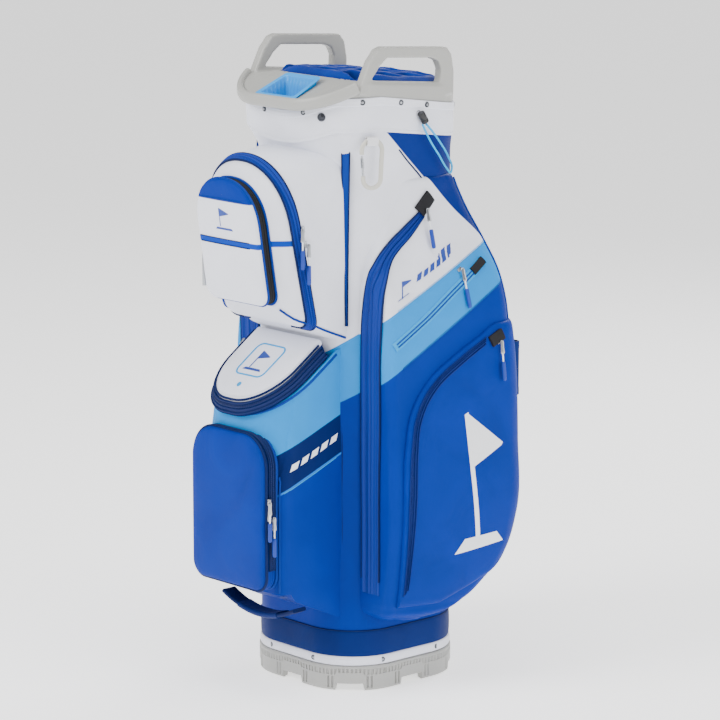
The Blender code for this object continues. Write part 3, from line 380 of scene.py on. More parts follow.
def panelled(tree, place, colour, panels):
    """Cloth colours: each panel is (colour, half-spaces), and lies over the ones before it."""
    mixed = None
    for tint, limits in panels:
        share = None
        for normal, distance in limits:
            inside = beyond(tree, place, normal, distance)
            share = inside if share is None else add(
                tree, "Math", {0: share, 1: inside}, operation="MINIMUM").outputs[0]
        mix = add(tree, "Mix", {"Factor": share, "A": linear(colour) if mixed is None else mixed,
                                "B": linear(tint)}, data_type="RGBA")
        mixed = mix.outputs["Result"]
    return mixed


def woven(name, colour, panels=(), roughness=0.52, thread=0.0017, crease=0.0020, weave=0.00014,
          sheen=0.0, shade=0.14):
    """Coated nylon cloth, plain woven: fine threads both ways, soft creases, and a faint sheen.

    The threads of 0.5 mm are drawn 1.7 mm apart, so that they show at all. The creases carry painted shade: the
    colour is darker in their hollows and a little lighter, as painted light, on their ridges.
    """
    made, tree, shader = shader_of(name, Sheen_Weight=sheen, Sheen_Roughness=0.45, IOR=1.5,
                                    Specular_IOR_Level=0.10)
    place, mirrored = mirrored_place(tree)
    up = add(tree, "TexWave", {"Vector": place, "Scale": 0.314 / thread}, bands_direction="Z")
    turned = add(tree, "Mapping", {"Vector": place, "Rotation": (0, 0, math.pi / 4)})
    across = add(tree, "TexWave", {"Vector": turned.outputs[0], "Scale": 0.444 / thread})
    threads = add(tree, "Math", {0: up.outputs["Fac"], 1: across.outputs["Fac"]}, operation="MULTIPLY")
    folds = add(tree, "TexNoise", {"Vector": place, "Scale": 13.0, "Detail": 3.5, "Roughness": 0.5,
                                   "Distortion": 0.7})
    grain = add(tree, "TexNoise", {"Vector": place, "Scale": 900.0, "Detail": 2.0})
    creased = add(tree, "Bump", {"Strength": 1.0, "Distance": crease, "Height": folds.outputs["Fac"]})
    bumped = add(tree, "Bump", {"Strength": 1.0, "Distance": weave, "Height": threads.outputs[0],
                                "Normal": creased.outputs[0]})
    tint = panelled(tree, mirrored, colour, panels) if panels else None
    # painted shade and light: the same fold noise as the crease bump darkens the colour by up to shade in the
    # hollows and lightens it by half that on the ridges
    level = add(tree, "MapRange", {"Value": folds.outputs["Fac"], "From Min": 0.3, "From Max": 0.7,
                                   "To Min": 1 - shade, "To Max": 1 + shade * 0.5})
    toned = add(tree, "HueSaturation", {"Color": tint or linear(colour), "Value": level.outputs[0]})
    rough = add(tree, "MapRange", {"Value": grain.outputs["Fac"], "To Min": roughness - 0.06,
                                   "To Max": roughness + 0.08})
    tree.links.new(toned.outputs[0], shader.inputs["Base Color"])
    tree.links.new(rough.outputs[0], shader.inputs["Roughness"])
    tree.links.new(bumped.outputs[0], shader.inputs["Normal"])
    return made


def zip_tape(name, colour, width, tooth=0.0030):
    """Zip tape: ribbed polyester, its coil showing as small cross ribs along the middle, and painted shade
    darkening a narrow line down the very middle, the groove where the coil's halves meet. The 1.2 mm ribs are
    drawn 3 mm apart, so that they show."""
    made, tree, shader = shader_of(name, Specular_IOR_Level=0.25, IOR=1.5)
    spread = add(tree, "UVMap", uv_map="cloth")
    parts = add(tree, "SeparateXYZ", {"Vector": spread.outputs[0]})
    middle = add(tree, "Math", {0: parts.outputs["X"], 1: width / 2}, operation="SUBTRACT")
    off = add(tree, "Math", {0: middle.outputs[0]}, operation="ABSOLUTE")
    near = add(tree, "MapRange", {"Value": off.outputs[0], "From Min": 0.0032, "From Max": 0.0044,
                                  "To Min": 1.0, "To Max": 0.0})
    turned = add(tree, "Mapping", {"Vector": spread.outputs[0], "Rotation": (0, 0, math.pi / 2)})
    ribs = add(tree, "TexWave", {"Vector": turned.outputs[0], "Scale": 0.314 / tooth})
    height = add(tree, "Math", {0: ribs.outputs["Fac"], 1: near.outputs[0]}, operation="MULTIPLY")
    bumped = add(tree, "Bump", {"Strength": 1.0, "Distance": 0.0005, "Height": height.outputs[0]})
    # painted shade: within 1 mm of the tape's middle the colour darkens to 0.45, as shade in the groove between
    # the coil's halves
    painted_groove_shade = add(tree, "MapRange", {"Value": off.outputs[0], "From Min": 0.0, "From Max": 0.0010,
                                     "To Min": 0.45, "To Max": 1.0})
    shaded = add(tree, "HueSaturation", {"Color": linear(colour), "Value": painted_groove_shade.outputs[0]})
    tree.links.new(shaded.outputs[0], shader.inputs["Base Color"])
    tree.links.new(bumped.outputs[0], shader.inputs["Normal"])
    shader.inputs["Roughness"].default_value = 0.6
    return made


def moulded(name, colour, roughness=0.38, grain=0.00006, shade=0.04, **sockets):
    """Injection-moulded polypropylene: an even colour with a fine spark-eroded grain."""
    made, tree, shader = shader_of(name, IOR=1.49, **sockets)
    place = add(tree, "TexCoord").outputs["Object"]
    fine = add(tree, "TexNoise", {"Vector": place, "Scale": 1100.0, "Detail": 2.0})
    wide = add(tree, "TexNoise", {"Vector": place, "Scale": 9.0, "Detail": 2.0})
    bumped = add(tree, "Bump", {"Strength": 1.0, "Distance": grain, "Height": fine.outputs["Fac"]})
    level = add(tree, "MapRange", {"Value": wide.outputs["Fac"], "To Min": 1 - shade, "To Max": 1 + shade})
    toned = add(tree, "HueSaturation", {"Color": linear(colour), "Value": level.outputs[0]})
    rough = add(tree, "MapRange", {"Value": fine.outputs["Fac"], "To Min": roughness - 0.05,
                                   "To Max": roughness + 0.08})
    tree.links.new(toned.outputs[0], shader.inputs["Base Color"])
    tree.links.new(rough.outputs[0], shader.inputs["Roughness"])
    tree.links.new(bumped.outputs[0], shader.inputs["Normal"])
    return made


def metal(name, colour, roughness):
    """Plated zinc or bright steel: a metal with slight wear that shows as uneven gloss."""
    made, tree, shader = shader_of(name, Metallic=1.0)
    place = add(tree, "TexCoord").outputs["Object"]
    wear = add(tree, "TexNoise", {"Vector": place, "Scale": 420.0, "Detail": 3.0})
    rough = add(tree, "MapRange", {"Value": wear.outputs["Fac"], "To Min": roughness - 0.08,
                                   "To Max": roughness + 0.14})
    level = add(tree, "MapRange", {"Value": wear.outputs["Fac"], "To Min": 0.9, "To Max": 1.05})
    toned = add(tree, "HueSaturation", {"Color": linear(colour), "Value": level.outputs[0]})
    tree.links.new(toned.outputs[0], shader.inputs["Base Color"])
    tree.links.new(rough.outputs[0], shader.inputs["Roughness"])
    return made


def webbing(name, colour, rib=0.0024):
    """Woven polyester webbing: slanted ribs both ways along its length, with painted shade in the grooves
    between them and painted light on their crests.
    """
    made, tree, shader = shader_of(name, Specular_IOR_Level=0.2, IOR=1.5)
    spread = add(tree, "UVMap", uv_map="cloth")
    ways = []
    for angle in (35, -35):
        turned = add(tree, "Mapping", {"Vector": spread.outputs[0], "Rotation": (0, 0, math.radians(angle))})
        ways.append(add(tree, "TexWave", {"Vector": turned.outputs[0], "Scale": 0.314 / rib}).outputs["Fac"])
    twill = add(tree, "Math", {0: ways[0], 1: ways[1]}, operation="MAXIMUM")
    bumped = add(tree, "Bump", {"Strength": 1.0, "Distance": 0.0003, "Height": twill.outputs[0]})
    # painted shade and light: the twill height that bumps the ribs also darkens the colour in their grooves and
    # lightens it on their crests
    level = add(tree, "MapRange", {"Value": twill.outputs[0], "To Min": 0.78, "To Max": 1.05})
    toned = add(tree, "HueSaturation", {"Color": linear(colour), "Value": level.outputs[0]})
    tree.links.new(toned.outputs[0], shader.inputs["Base Color"])
    tree.links.new(bumped.outputs[0], shader.inputs["Normal"])
    shader.inputs["Roughness"].default_value = 0.7
    return made


# ================================================================ surfaces of the bag
def rise(x, y):
    """How far the cuff's edges climb: fully at the front corners, not at all behind."""
    return 0.020 * np.minimum(1, (x / 0.095) ** 2) * (1 - np.clip((y + 0.06) / 0.15, 0, 1))


def rim(x, y):
    """Height of the collar's top edge, which falls backwards and round the putter well."""
    return 0.870 - 0.095 * np.maximum(y, -0.090) - 0.45 * np.maximum(0, -0.090 - y)


def lid_top(y):
    return LID_FRONT_TOP + LID_SLOPE * (y - LID_FRONT)


def under(y):
    """Height of the lower module's underside, which turns up to the ball pocket."""
    y = np.maximum(y, -0.200)
    return 0.114 + 0.45 * (-TUBE_HALF - y) + 0.8 * np.maximum(0, -0.189 - y)


def rounded_ends(rings, radius, steps=5):
    """Extra rings that round both ends of a skin over by a radius, inwards and towards its ends."""
    def end(ring, neighbour):
        way = ring.mean(0) - neighbour.mean(0)
        way /= np.linalg.norm(way)
        size = np.linalg.norm(ring - ring.mean(0), axis=1).mean()
        turn = np.linspace(0, math.pi / 2, steps + 1)[1:]
        return [shrunk(ring - way * radius, 1 - radius * (1 - math.cos(a)) / size, way * radius * math.sin(a))
                for a in turn]
    body = rings[1:-1]
    first, last = end(rings[0], rings[1]), end(rings[-1], rings[-2])
    return [*first[::-1], *body, *last]


SIDE_LEVELS = np.array([
    (0.108, 0.790, 0.004, -0.069), (0.116, 0.880, 0.030, -0.081), (0.130, 0.915, 0.062, -0.085),
    (0.152, 0.940, 0.092, -0.085), (0.190, 0.965, 0.119, -0.085), (0.250, 0.990, 0.1385, -0.085),
    (0.355, 0.975, 0.1425, -0.085), (0.500, 0.930, 0.1425, -0.085), (0.555, 0.895, 0.1415, -0.085),
    (0.598, 0.825, 0.1385, -0.083), (0.635, 0.715, 0.1335, -0.075), (0.680, 0.605, 0.1205, -0.057),
    (0.730, 0.580, 0.0975, -0.040)])


def side_level_line(rule, ts):
    """Points of the side pocket's skin, one for each t, on the slanted plane z = a + b * (x + y)."""
    (slope, _, _), limit = rule
    z = np.full(len(ts), 0.55)
    for _ in range(24):
        at = side_ring(z, ts)
        z = 0.5 * z + 0.5 * (-limit + slope * (at[:, 0] + at[:, 1]))
    return side_ring(z, ts)


def side_ring(height, t, grow=0.0):
    """A point of the side pocket's skin at a height, for t from 0 at its front root to 1 at its back root."""
    height, t = np.broadcast_arrays(np.asarray(height, float), np.asarray(t, float))
    share, back, front = (spline(SIDE_LEVELS[:, 0], SIDE_LEVELS[:, k], height) for k in (1, 2, 3))
    deep = 0.205 * share + grow
    near = deep - 0.022 * np.minimum(1, 6 * np.maximum(0, share - 0.58))
    front, back = front - grow, back + grow
    turn_front = np.radians(-90 + 82 * np.clip((t - 0.16) / 0.16, 0, 1))
    turn_back = np.radians(4 + 90 * np.clip((t - 0.70) / 0.16, 0, 1))
    start = np.stack([np.full_like(t, 0.085), front], axis=-1)
    corner_a = np.stack([near - 0.018 + 0.018 * np.cos(turn_front),
                         front + 0.018 + 0.018 * np.sin(turn_front)], axis=-1)
    corner_b = np.stack([deep - 0.033 + 0.033 * np.cos(turn_back),
                         back - 0.033 + 0.033 * np.sin(turn_back)], axis=-1)
    stop = np.stack([np.full_like(t, 0.075), np.minimum(back - 0.006, 0.112)], axis=-1)
    share_a = np.clip(t / 0.16, 0, 1)[..., None]
    share_mid = np.clip((t - 0.32) / 0.38, 0, 1)[..., None]
    share_b = np.clip((t - 0.86) / 0.14, 0, 1)[..., None]
    flat = start + (corner_a - start) * share_a
    flat = np.where(t[..., None] > 0.32, corner_a + (corner_b - corner_a) * share_mid, flat)
    flat = np.where(t[..., None] > 0.86, corner_b + (stop - corner_b) * share_b, flat)
    bow = 0.006 * np.sin(math.pi * share_mid[..., 0]) * np.clip((t - 0.3) * 40, 0, 1)
    return np.stack([flat[..., 0] + bow, flat[..., 1], height], axis=-1)


def fabric_normals(grid, around):
    """Unit normals of a grid of points from its two tangents."""
    if around:
        across = np.roll(grid, -1, axis=1) - np.roll(grid, 1, axis=1)
    else:
        across = np.gradient(grid, axis=1)
    up = np.gradient(grid, axis=0)
    facing = np.cross(across, up)
    size = np.linalg.norm(facing, axis=2, keepdims=True)
    return facing / np.maximum(size, 1e-12)


def folded(grid, seed, depth, low=6.0, high=30.0, around=True, gap=6):
    """A skin with soft random folds along its normals, fading out at its ends."""
    grid = np.asarray(grid, float)
    normals = fabric_normals(grid, around)
    u = grid[..., 0] + grid[..., 1] + 0.4 * grid[..., 2]
    v = grid[..., 2] + 0.3 * grid[..., 0] - 0.3 * grid[..., 1]
    fade = np.clip(np.minimum(np.arange(len(grid)), np.arange(len(grid))[::-1]) / gap, 0, 1)
    depth = depth * fade[:, None] * ripple(u, v, seed, low=low, high=high)
    return grid + normals * depth[..., None]


def nearest_on(target, points):
    """The nearest places on a piece to some points, and the way its surface faces there."""
    tree = BVHTree.FromObject(target, bpy.context.evaluated_depsgraph_get())
    found = [tree.find_nearest(Vector(p)) for p in np.reshape(points, (-1, 3))]
    shape = np.shape(points)
    return (np.array([f[0] for f in found]).reshape(shape), np.array([f[1] for f in found]).reshape(shape))


def draped(target, points, count=140, lift=0.0, closed=False):
    """A smooth line on a piece through given points near it, with the directions that it faces."""
    points = np.asarray(points, float)
    line = evenly(points, count, closed=True) if closed else through(points, count)
    places, normals = nearest_on(target, line)
    if closed:
        for _ in range(8):
            normals = (np.roll(normals, 1, axis=0) + 2 * normals + np.roll(normals, -1, axis=0)) / 4
            places = (np.roll(places, 1, axis=0) + 6 * places + np.roll(places, -1, axis=0)) / 8
    else:
        normals, places = eased(normals, 10), eased(places, 2)
    normals /= np.linalg.norm(normals, axis=1, keepdims=True)
    return places + normals * lift, normals


def patch(name, target, grid, lift, paint):
    """A thin layer sewn on a piece: a grid of points is laid on it, lifted, and its border turned down."""
    if target is None:
        places = np.asarray(grid, float)
        normals = fabric_normals(places, False)
        normals *= np.sign((normals * places * (1, 1, 0)).sum())
    else:
        places, normals = nearest_on(target, np.asarray(grid, float))
    top = places + normals * lift
    rows, columns = top.shape[:2]
    down = places - normals * 0.0006
    framed = np.empty((rows + 2, columns + 2, 3))
    framed[1:-1, 1:-1] = top
    framed[0, 1:-1], framed[-1, 1:-1] = down[0], down[-1]
    framed[1:-1, 0], framed[1:-1, -1] = down[:, 0], down[:, -1]
    framed[0, 0], framed[0, -1], framed[-1, 0], framed[-1, -1] = (
        down[0, 0], down[0, -1], down[-1, 0], down[-1, -1])
    made = solid(name, framed, paint, around=False, recalc=False)
    facing = np.array([p.normal for p in made.data.polygons])
    middle = np.array(made.data.polygons[len(facing) // 2].normal)
    if middle @ normals.reshape(-1, 3).mean(0) < 0:
        made.data.flip_normals()
    return made


def ruled(one, other, rows=6):
    """A grid of points between two lines of the same count."""
    share = np.linspace(0, 1, rows)[:, None, None]
    return np.asarray(one)[None] * (1 - share) + np.asarray(other)[None] * share


def piping(name, target, points, radius, paint, count=160, closed=False, sink=0.35):
    """A round sewn cord along a line on a piece, sunk a little into its seam."""
    path, normals = draped(target, points, count, radius * (1 - sink), closed)
    return sweep(name, path, normals, circle(radius, 10), paint, closed=closed)


def refined(node, name, paint, bevel=0.0004, flat=2.0, levels=0):
    """A CAD node's shape again with merged points, joined flat faces and small rounded edges."""
    data = bmesh.new()
    data.from_mesh(NODES[node].data)
    bmesh.ops.remove_doubles(data, verts=data.verts, dist=2e-6)
    bmesh.ops.dissolve_limit(data, angle_limit=math.radians(flat), verts=data.verts, edges=data.edges)
    bmesh.ops.recalc_face_normals(data, faces=data.faces)
    mesh = bpy.data.meshes.new(name)
    data.to_mesh(mesh)
    data.free()
    mesh.materials.append(paint)
    mesh.shade_smooth()
    made = bpy.data.objects.new(name, mesh)
    bpy.context.scene.collection.objects.link(made)
    if bevel:
        edge = made.modifiers.new("edges", "BEVEL")
        edge.width, edge.segments, edge.limit_method = bevel, 2, "ANGLE"
        edge.angle_limit = math.radians(32)
        edge.harden_normals = False
    if levels:
        finer = made.modifiers.new("finer", "SUBSURF")
        finer.levels = finer.render_levels = levels
    return made


def softened(node, name, paint, voxel, passes=6, factor=0.5):
    """A CAD node's shape again as one even skin of small squares, with its edges smoothed round."""
    made = refined(node, name, paint, bevel=0)
    remesh = made.modifiers.new("skin", "REMESH")
    remesh.mode, remesh.voxel_size, remesh.use_smooth_shade = "VOXEL", voxel, True
    smooth = made.modifiers.new("round", "SMOOTH")
    smooth.factor, smooth.iterations = factor, passes
    settled = bpy.data.meshes.new_from_object(made.evaluated_get(bpy.context.evaluated_depsgraph_get()))
    made.modifiers.clear()
    made.data = settled
    settled.name = name
    settled.materials.clear()
    settled.materials.append(paint)
    settled.shade_smooth()
    return made


def node_points(node):
    """All corners of a CAD node, as an array."""
    mesh = NODES[node].data
    points = np.empty(len(mesh.vertices) * 3)
    mesh.vertices.foreach_get("co", points)
    return points.reshape(-1, 3)


def banded(share, beads=0.075, coil=0.5):
    """Height of a closed zip across its band: a piping bead at each edge, sewn grooves beside the tapes,
    and the two halves of the coil's cover either side of its middle."""
    share = np.asarray(share, float)
    off = np.abs(share - coil)
    edge = np.minimum(share, 1 - share)
    bead = 0.0026 * np.sqrt(np.clip(1 - ((edge - beads) / beads) ** 2, 0, 1))
    cover = 0.0009 + 0.0013 * np.exp(-((off - 0.085) / 0.055) ** 2) - 0.0010 * np.exp(-(off / 0.018) ** 2)
    groove = 0.0009 * np.exp(-((edge - 2.6 * beads) / 0.020) ** 2)
    return np.maximum(bead, cover - groove) + 0.0002


def zip_band(name, target, one, other, paint, columns=57):
    """A zip between two lines on a piece: its height across is banded()."""
    share = np.linspace(0, 1, columns)
    grid = ruled(one, other, columns).transpose(1, 0, 2)
    return patch(name, target, grid, banded(share)[None, :, None], paint)


# ================================================================ colours and finishes
WHITE, ROYAL, NAVY, SKY = "#e8eaf4", "#002a8c", "#001b56", "#008ad6"
SKY_TUBE = ((0.417, 0.417, -1), -0.5137)
ROYAL_TUBE = ((0.36, 0.36, -1), -0.4292)
SKY_SIDE = ((0.47, 0.47, -1), -0.5116)
ROYAL_SIDE = ((0.535, 0.535, -1), -0.4198)
ROYAL_FLANK = ((0.385, 0.385, -1), -0.4125)
STRIPE_FLANK = ((0.39, 0.39, -1), -0.3575)
BELOW_STRIPE = ((0.39, 0.39, -1), -0.3545)
CORE = ((0, 0.696, 0.718), 0.5441)
LOOKS = {}

# what each finish gives the eye is said beside it
RECIPES = {
    # satin grey plastic, warm, with soft highlights along its rounded edges
    "grey_moulding": lambda: moulded("moulded_polypropylene_light_grey", "#a2a29e"),
    # brighter, more even plastic: the putter well
    "sky_moulding": lambda: moulded("moulded_polypropylene_sky_blue", "#0097e6", roughness=0.42),
    # cool white cloth with faint lavender painted shade in its folds
    "white_fabric": lambda: woven("woven_nylon_white", WHITE, shade=0.05),
    # deep even blue, the main colour of the lower half; dull enough to stay dark where it faces the lights
    "royal_fabric": lambda: woven("woven_nylon_royal_blue", ROYAL),
    # darker than the royal cloth beside it, so that bands and sleeves part from the tube
    "navy_fabric": lambda: woven("woven_nylon_navy", "#001f60"),
    # the tube's outer cloth: slanted white, sky and royal panels, darker behind
    "tube_fabric": lambda: woven("woven_nylon_tube_panels", WHITE, (
        (SKY, (SKY_TUBE,)), (ROYAL, (ROYAL_TUBE,)), ("#002273", (CORE, ((1, 0, 0), 0.095))),
        ("#002273", (((0, 1, 0), 0.062),))), shade=0.06),
    # the same slanted white, sky and royal bands as the tube, carried across the side pockets
    "side_fabric": lambda: woven("woven_nylon_side_panels", WHITE, (
        (SKY, (SKY_SIDE,)), (ROYAL, (ROYAL_SIDE,)), ("#002273", (((0, 0.696, 0.718), 0.5461),))), shade=0.07),
    # a sky panel, then a navy band and a thin mid-blue line above the royal
    "flank_fabric": lambda: woven("woven_nylon_front_panels", SKY, (
        (NAVY, (ROYAL_FLANK,)), ("#1f78d6", (STRIPE_FLANK,)), (ROYAL, (BELOW_STRIPE,))),
        crease=0.0016, shade=0.09),
    # white with one narrow royal band that runs on from the pocket beside it
    "nose_fabric": lambda: woven("woven_nylon_white_banded", WHITE, (
        ("#003aa4", (((0, 0, 1), 0.6545), ((0, 0, -1), -0.6630), ((0, -1, 0), 0.1760))),), shade=0.05),
    # the lid: white on its padded top, navy down its sides
    "lid_fabric": lambda: woven(
        "woven_nylon_white_lid", NAVY, ((WHITE, (((0, -0.69, 1), 0.5938),)),), shade=0.04),
    # white with a royal cap and band, so the front pocket reads as three panels
    "face_fabric": lambda: woven("woven_nylon_white_royal_cap", WHITE, (
        ("#003aa4", (((0, 0, 1), 0.6520), ((0, 0, -1), -0.6600))),
        (ROYAL, (((0, 0, 1), 0.7150),))), shade=0.04),
    # soft cloth over foam with a faint sheen at its edges
    "navy_padding": lambda: woven("foam_backed_nylon_navy", "#001f60", crease=0.0018, sheen=0.08),
    # brushed lining over foam: dull, with deep soft folds darkened by strong painted shade, and a strong sheen
    # at its edges
    "divider_lining": lambda: woven("brushed_lining_royal_blue", "#002c88", roughness=0.7, crease=0.0026,
                                    sheen=0.15, shade=0.2),
    # dull and a little lighter than the outer navy, seen only down the club openings
    "navy_lining": lambda: woven("woven_lining_navy", "#16306e", roughness=0.7),
    # near-black tape with a ribbed coil down its middle, the darkest line on the white pockets
    "black_tape": lambda: zip_tape("zip_tape_black_coil", "#2b2b2e", 0.011),
    # navy tape and coil, a dark ribbed edge
    "navy_zip": lambda: zip_tape("zip_tape_navy_coil", "#001a52", 0.017),
    # a wide royal tape with its coil down the middle
    "side_zip": lambda: zip_tape("zip_tape_royal_wide", "#002a86", 0.030),
    # a narrow dark tape that draws the edge of the lower pouch
    "pouch_zip": lambda: zip_tape("zip_tape_navy_narrow", "#001f68", 0.0130),
    # a royal tape and coil that arches round the upper pocket
    "upper_zip": lambda: zip_tape("zip_tape_royal_upper", "#003095", 0.0175),
    # a mid-width royal tape and coil
    "royal_zip": lambda: zip_tape("zip_tape_royal_coil", "#00308f", 0.017),
    # flat dark patches that end each zip
    "black_cloth": lambda: woven("woven_polyester_black", "#242427", roughness=0.6),
    # bright, fairly smooth metal film inside the cooler
    "foil_liner": lambda: metal("aluminised_film_liner", "#c9ccd2", 0.32),
    # pale hard rods with a slight gloss
    "glass_fibre": lambda: moulded("pultruded_glass_fibre_white", "#d8d8d2", roughness=0.3),
    # ribbed dark webbing, its ribs catching thin lines of light
    "blue_webbing": lambda: webbing("woven_webbing_navy", "#001850"),
    # ribbed pale webbing
    "white_webbing": lambda: webbing("woven_webbing_white", "#e6e6ea"),
    # a bright thin braided cord, the lightest blue on the bag
    "sky_elastic_cord": lambda: woven(
        "braided_elastic_cord_sky_blue", "#27aeea", thread=0.0011, crease=0.0002),
    # flat bright ribbed braid
    "sky_elastic": lambda: webbing("braided_elastic_sky_blue", "#27aeea", rib=0.0016),
    # glossy black with small sharp highlights
    "black_plastic": lambda: moulded("moulded_acetal_black", "#17181b", roughness=0.3),
    # warm off-white plastic, satin, for the towel clip
    "ivory_plastic": lambda: moulded("moulded_nylon_ivory", "#c6c4ba", roughness=0.35),
    # bright thin wire with tight highlights
    "steel_wire": lambda: metal("bright_steel_wire", "#b9bcc0", 0.22),
    # cool grey cast metal, softer than the wire
    "plated_zinc": lambda: metal("cast_zinc_nickel_plated", "#a8abb0", 0.28),
    # dark turned metal with a small highlight
    "gunmetal": lambda: metal("turned_steel_gunmetal", "#4c4e54", 0.3),
    # smooth matt rubber, plainer than the cloth behind it
    "blue_pull": lambda: moulded("extruded_rubber_tube_royal_blue", "#003297", roughness=0.5),
    # printed and sewn marks: flat, a little glossier than the cloth under them
    "white_print": lambda: moulded("silicone_print_white", "#eef0f4", roughness=0.45),
    "navy_print": lambda: moulded("silicone_print_navy", "#173a93", roughness=0.45),
    # fine ribbed blue cord that draws each seam
    "royal_piping": lambda: webbing("woven_piping_royal_blue", "#00318f", rib=0.0016),
    # fine ribbed dark cord, a shadow line along the seams
    "navy_piping": lambda: webbing("woven_piping_navy", "#00174c", rib=0.0016),
    # a thin bright line of tape on the white cloth
    "sky_tape": lambda: webbing("woven_tape_sky_blue", "#1a9bdc", rib=0.0020),
}


def look(name):
    """The material of that name, made the first time that it is asked for."""
    if name not in LOOKS:
        LOOKS[name] = RECIPES[name]()
    return LOOKS[name]


def dress(node, paint):
    """A finish on a CAD node that stays shown."""
    mesh = NODES[node].data
    mesh.materials.clear()
    mesh.materials.append(look(paint))


# ================================================================ settings
class GolfBagCloth(bpy.types.PropertyGroup):
    fold: bpy.props.FloatProperty(
        name="Fold depth", description="Depth of the soft folds in the outer cloth",
        default=0.0012, min=0, max=0.004, unit="LENGTH")
    fullness: bpy.props.FloatProperty(
        name="Fullness", description="How far the pockets' faces swell past their seams",
        default=0.004, min=0, max=0.008, unit="LENGTH")
    pressure: bpy.props.FloatProperty(
        name="Padding pressure", description="Pressure inside the foam-filled pieces while they settle",
        default=4.0, min=0, max=10)
    frames: bpy.props.IntProperty(
        name="Settling frames", description="Frames that the cloth simulation runs for",
        default=16, min=2, max=40)


class GolfBagStage(bpy.types.PropertyGroup):
    azimuth: bpy.props.FloatProperty(
        name="Azimuth", description="Turn of the camera round the bag, from its front",
        default=math.radians(48), subtype="ANGLE")
    elevation: bpy.props.FloatProperty(
        name="Elevation", description="Height of the camera, as an angle above the bag's middle",
        default=math.radians(11.3), subtype="ANGLE")
    distance: bpy.props.FloatProperty(
        name="Distance", description="Distance from the camera to the bag's axis",
        default=5.3, unit="LENGTH")
    middle: bpy.props.FloatProperty(
        name="Aim height", description="Height of the point that the camera looks at",
        default=0.4566, unit="LENGTH")
    key: bpy.props.FloatProperty(
        name="Key light", description="Power of the main soft light", default=100.0, unit="POWER")


def settings():
    return bpy.context.scene.golf_bag_cloth


# ================================================================ stage and cord
class GOLFBAG_OT_stage(bpy.types.Operator):
    """Pale floor, plain backdrop, soft lights and the camera"""
    bl_idname = "golf_bag.stage"
    bl_label = "Stage"

    def execute(self, context):
        stage = context.scene.golf_bag_stage
        away = Vector((math.sin(stage.azimuth) * math.cos(stage.elevation),
                       -math.cos(stage.azimuth) * math.cos(stage.elevation), math.sin(stage.elevation)))
        aim = Vector((0.0074 * math.cos(stage.azimuth), 0.0074 * math.sin(stage.azimuth), stage.middle))
        camera = bpy.data.objects.new("camera", bpy.data.cameras.new("camera"))
        camera.data.sensor_width = SENSOR_WIDTH
        camera.data.lens = SENSOR_WIDTH * stage.distance / VIEW_WIDTH
        camera.location = aim + away * stage.distance
        camera.rotation_euler = away.to_track_quat("Z", "Y").to_euler()
        context.scene.collection.objects.link(camera)
        context.scene.camera = camera

        floor_paint, tree, shader = shader_of("painted_studio_floor", Roughness=0.85)
        place = add(tree, "TexCoord").outputs["Object"]
        mottle = add(tree, "TexNoise", {"Vector": place, "Scale": 1.5})
        level = add(tree, "MapRange", {"Value": mottle.outputs["Fac"], "To Min": 0.985, "To Max": 1.0})
        toned = add(tree, "HueSaturation", {"Color": linear("#f4f4f5"), "Value": level.outputs[0]})
        tree.links.new(toned.outputs[0], shader.inputs["Base Color"])
        shader.inputs["Emission Color"].default_value = (1.0, 1.0, 1.0, 1.0)
        shader.inputs["Emission Strength"].default_value = 1.1
        angle = np.linspace(0, 2 * math.pi, 65)[:-1]
        rings = [np.column_stack([np.cos(angle) * r, np.sin(angle) * r, np.zeros(64)])
                 for r in (0.01, 1, 6, 40)]
        floor = solid("studio_floor", np.stack(rings), floor_paint, recalc=False, sharp=80)
        if floor.data.polygons[0].normal.z < 0:
            floor.data.flip_normals()

        for name, angle, high, far, size, share in (
                ("key", -62, 2.4, 2.6, 1.8, 1.0), ("fill", 50, 1.5, 2.8, 2.4, 0.55),
                ("top", 10, 3.6, 0.8, 2.2, 0.6),
                ("rim", 150, 2.0, 2.6, 1.4, 0.45)):
            lamp = bpy.data.lights.new(name, "AREA")
            lamp.shape, lamp.size, lamp.energy = "DISK", size, stage.key * share
            turned = stage.azimuth + math.radians(angle)
            spot = Vector((math.sin(turned) * far, -math.cos(turned) * far, high))
            made = bpy.data.objects.new(name, lamp)
            made.location = spot
            made.rotation_euler = (spot - Vector((0, 0, 0.45))).to_track_quat("Z", "Y").to_euler()
            context.scene.collection.objects.link(made)
        world = context.scene.world or bpy.data.worlds.new("world")
        context.scene.world = world
        world.use_nodes = True
        sky = world.node_tree.nodes["Background"]
        sky.inputs["Color"].default_value = (1.0, 1.0, 1.0, 1.0)
        sky.inputs["Strength"].default_value = 0.42
        return {"FINISHED"}


CORD_ROUTE = (
    (0.1310, 0.0100, 0.8118), (0.1320, 0.0225, 0.7900), (0.1305, 0.0435, 0.7640),
    (0.1282, 0.0605, 0.7440), (0.1270, 0.0690, 0.7375), (0.1262, 0.0720, 0.7440),
    (0.1272, 0.0635, 0.7610), (0.1295, 0.0440, 0.7850), (0.1312, 0.0240, 0.8055),
    (0.1310, 0.0172, 0.8120))


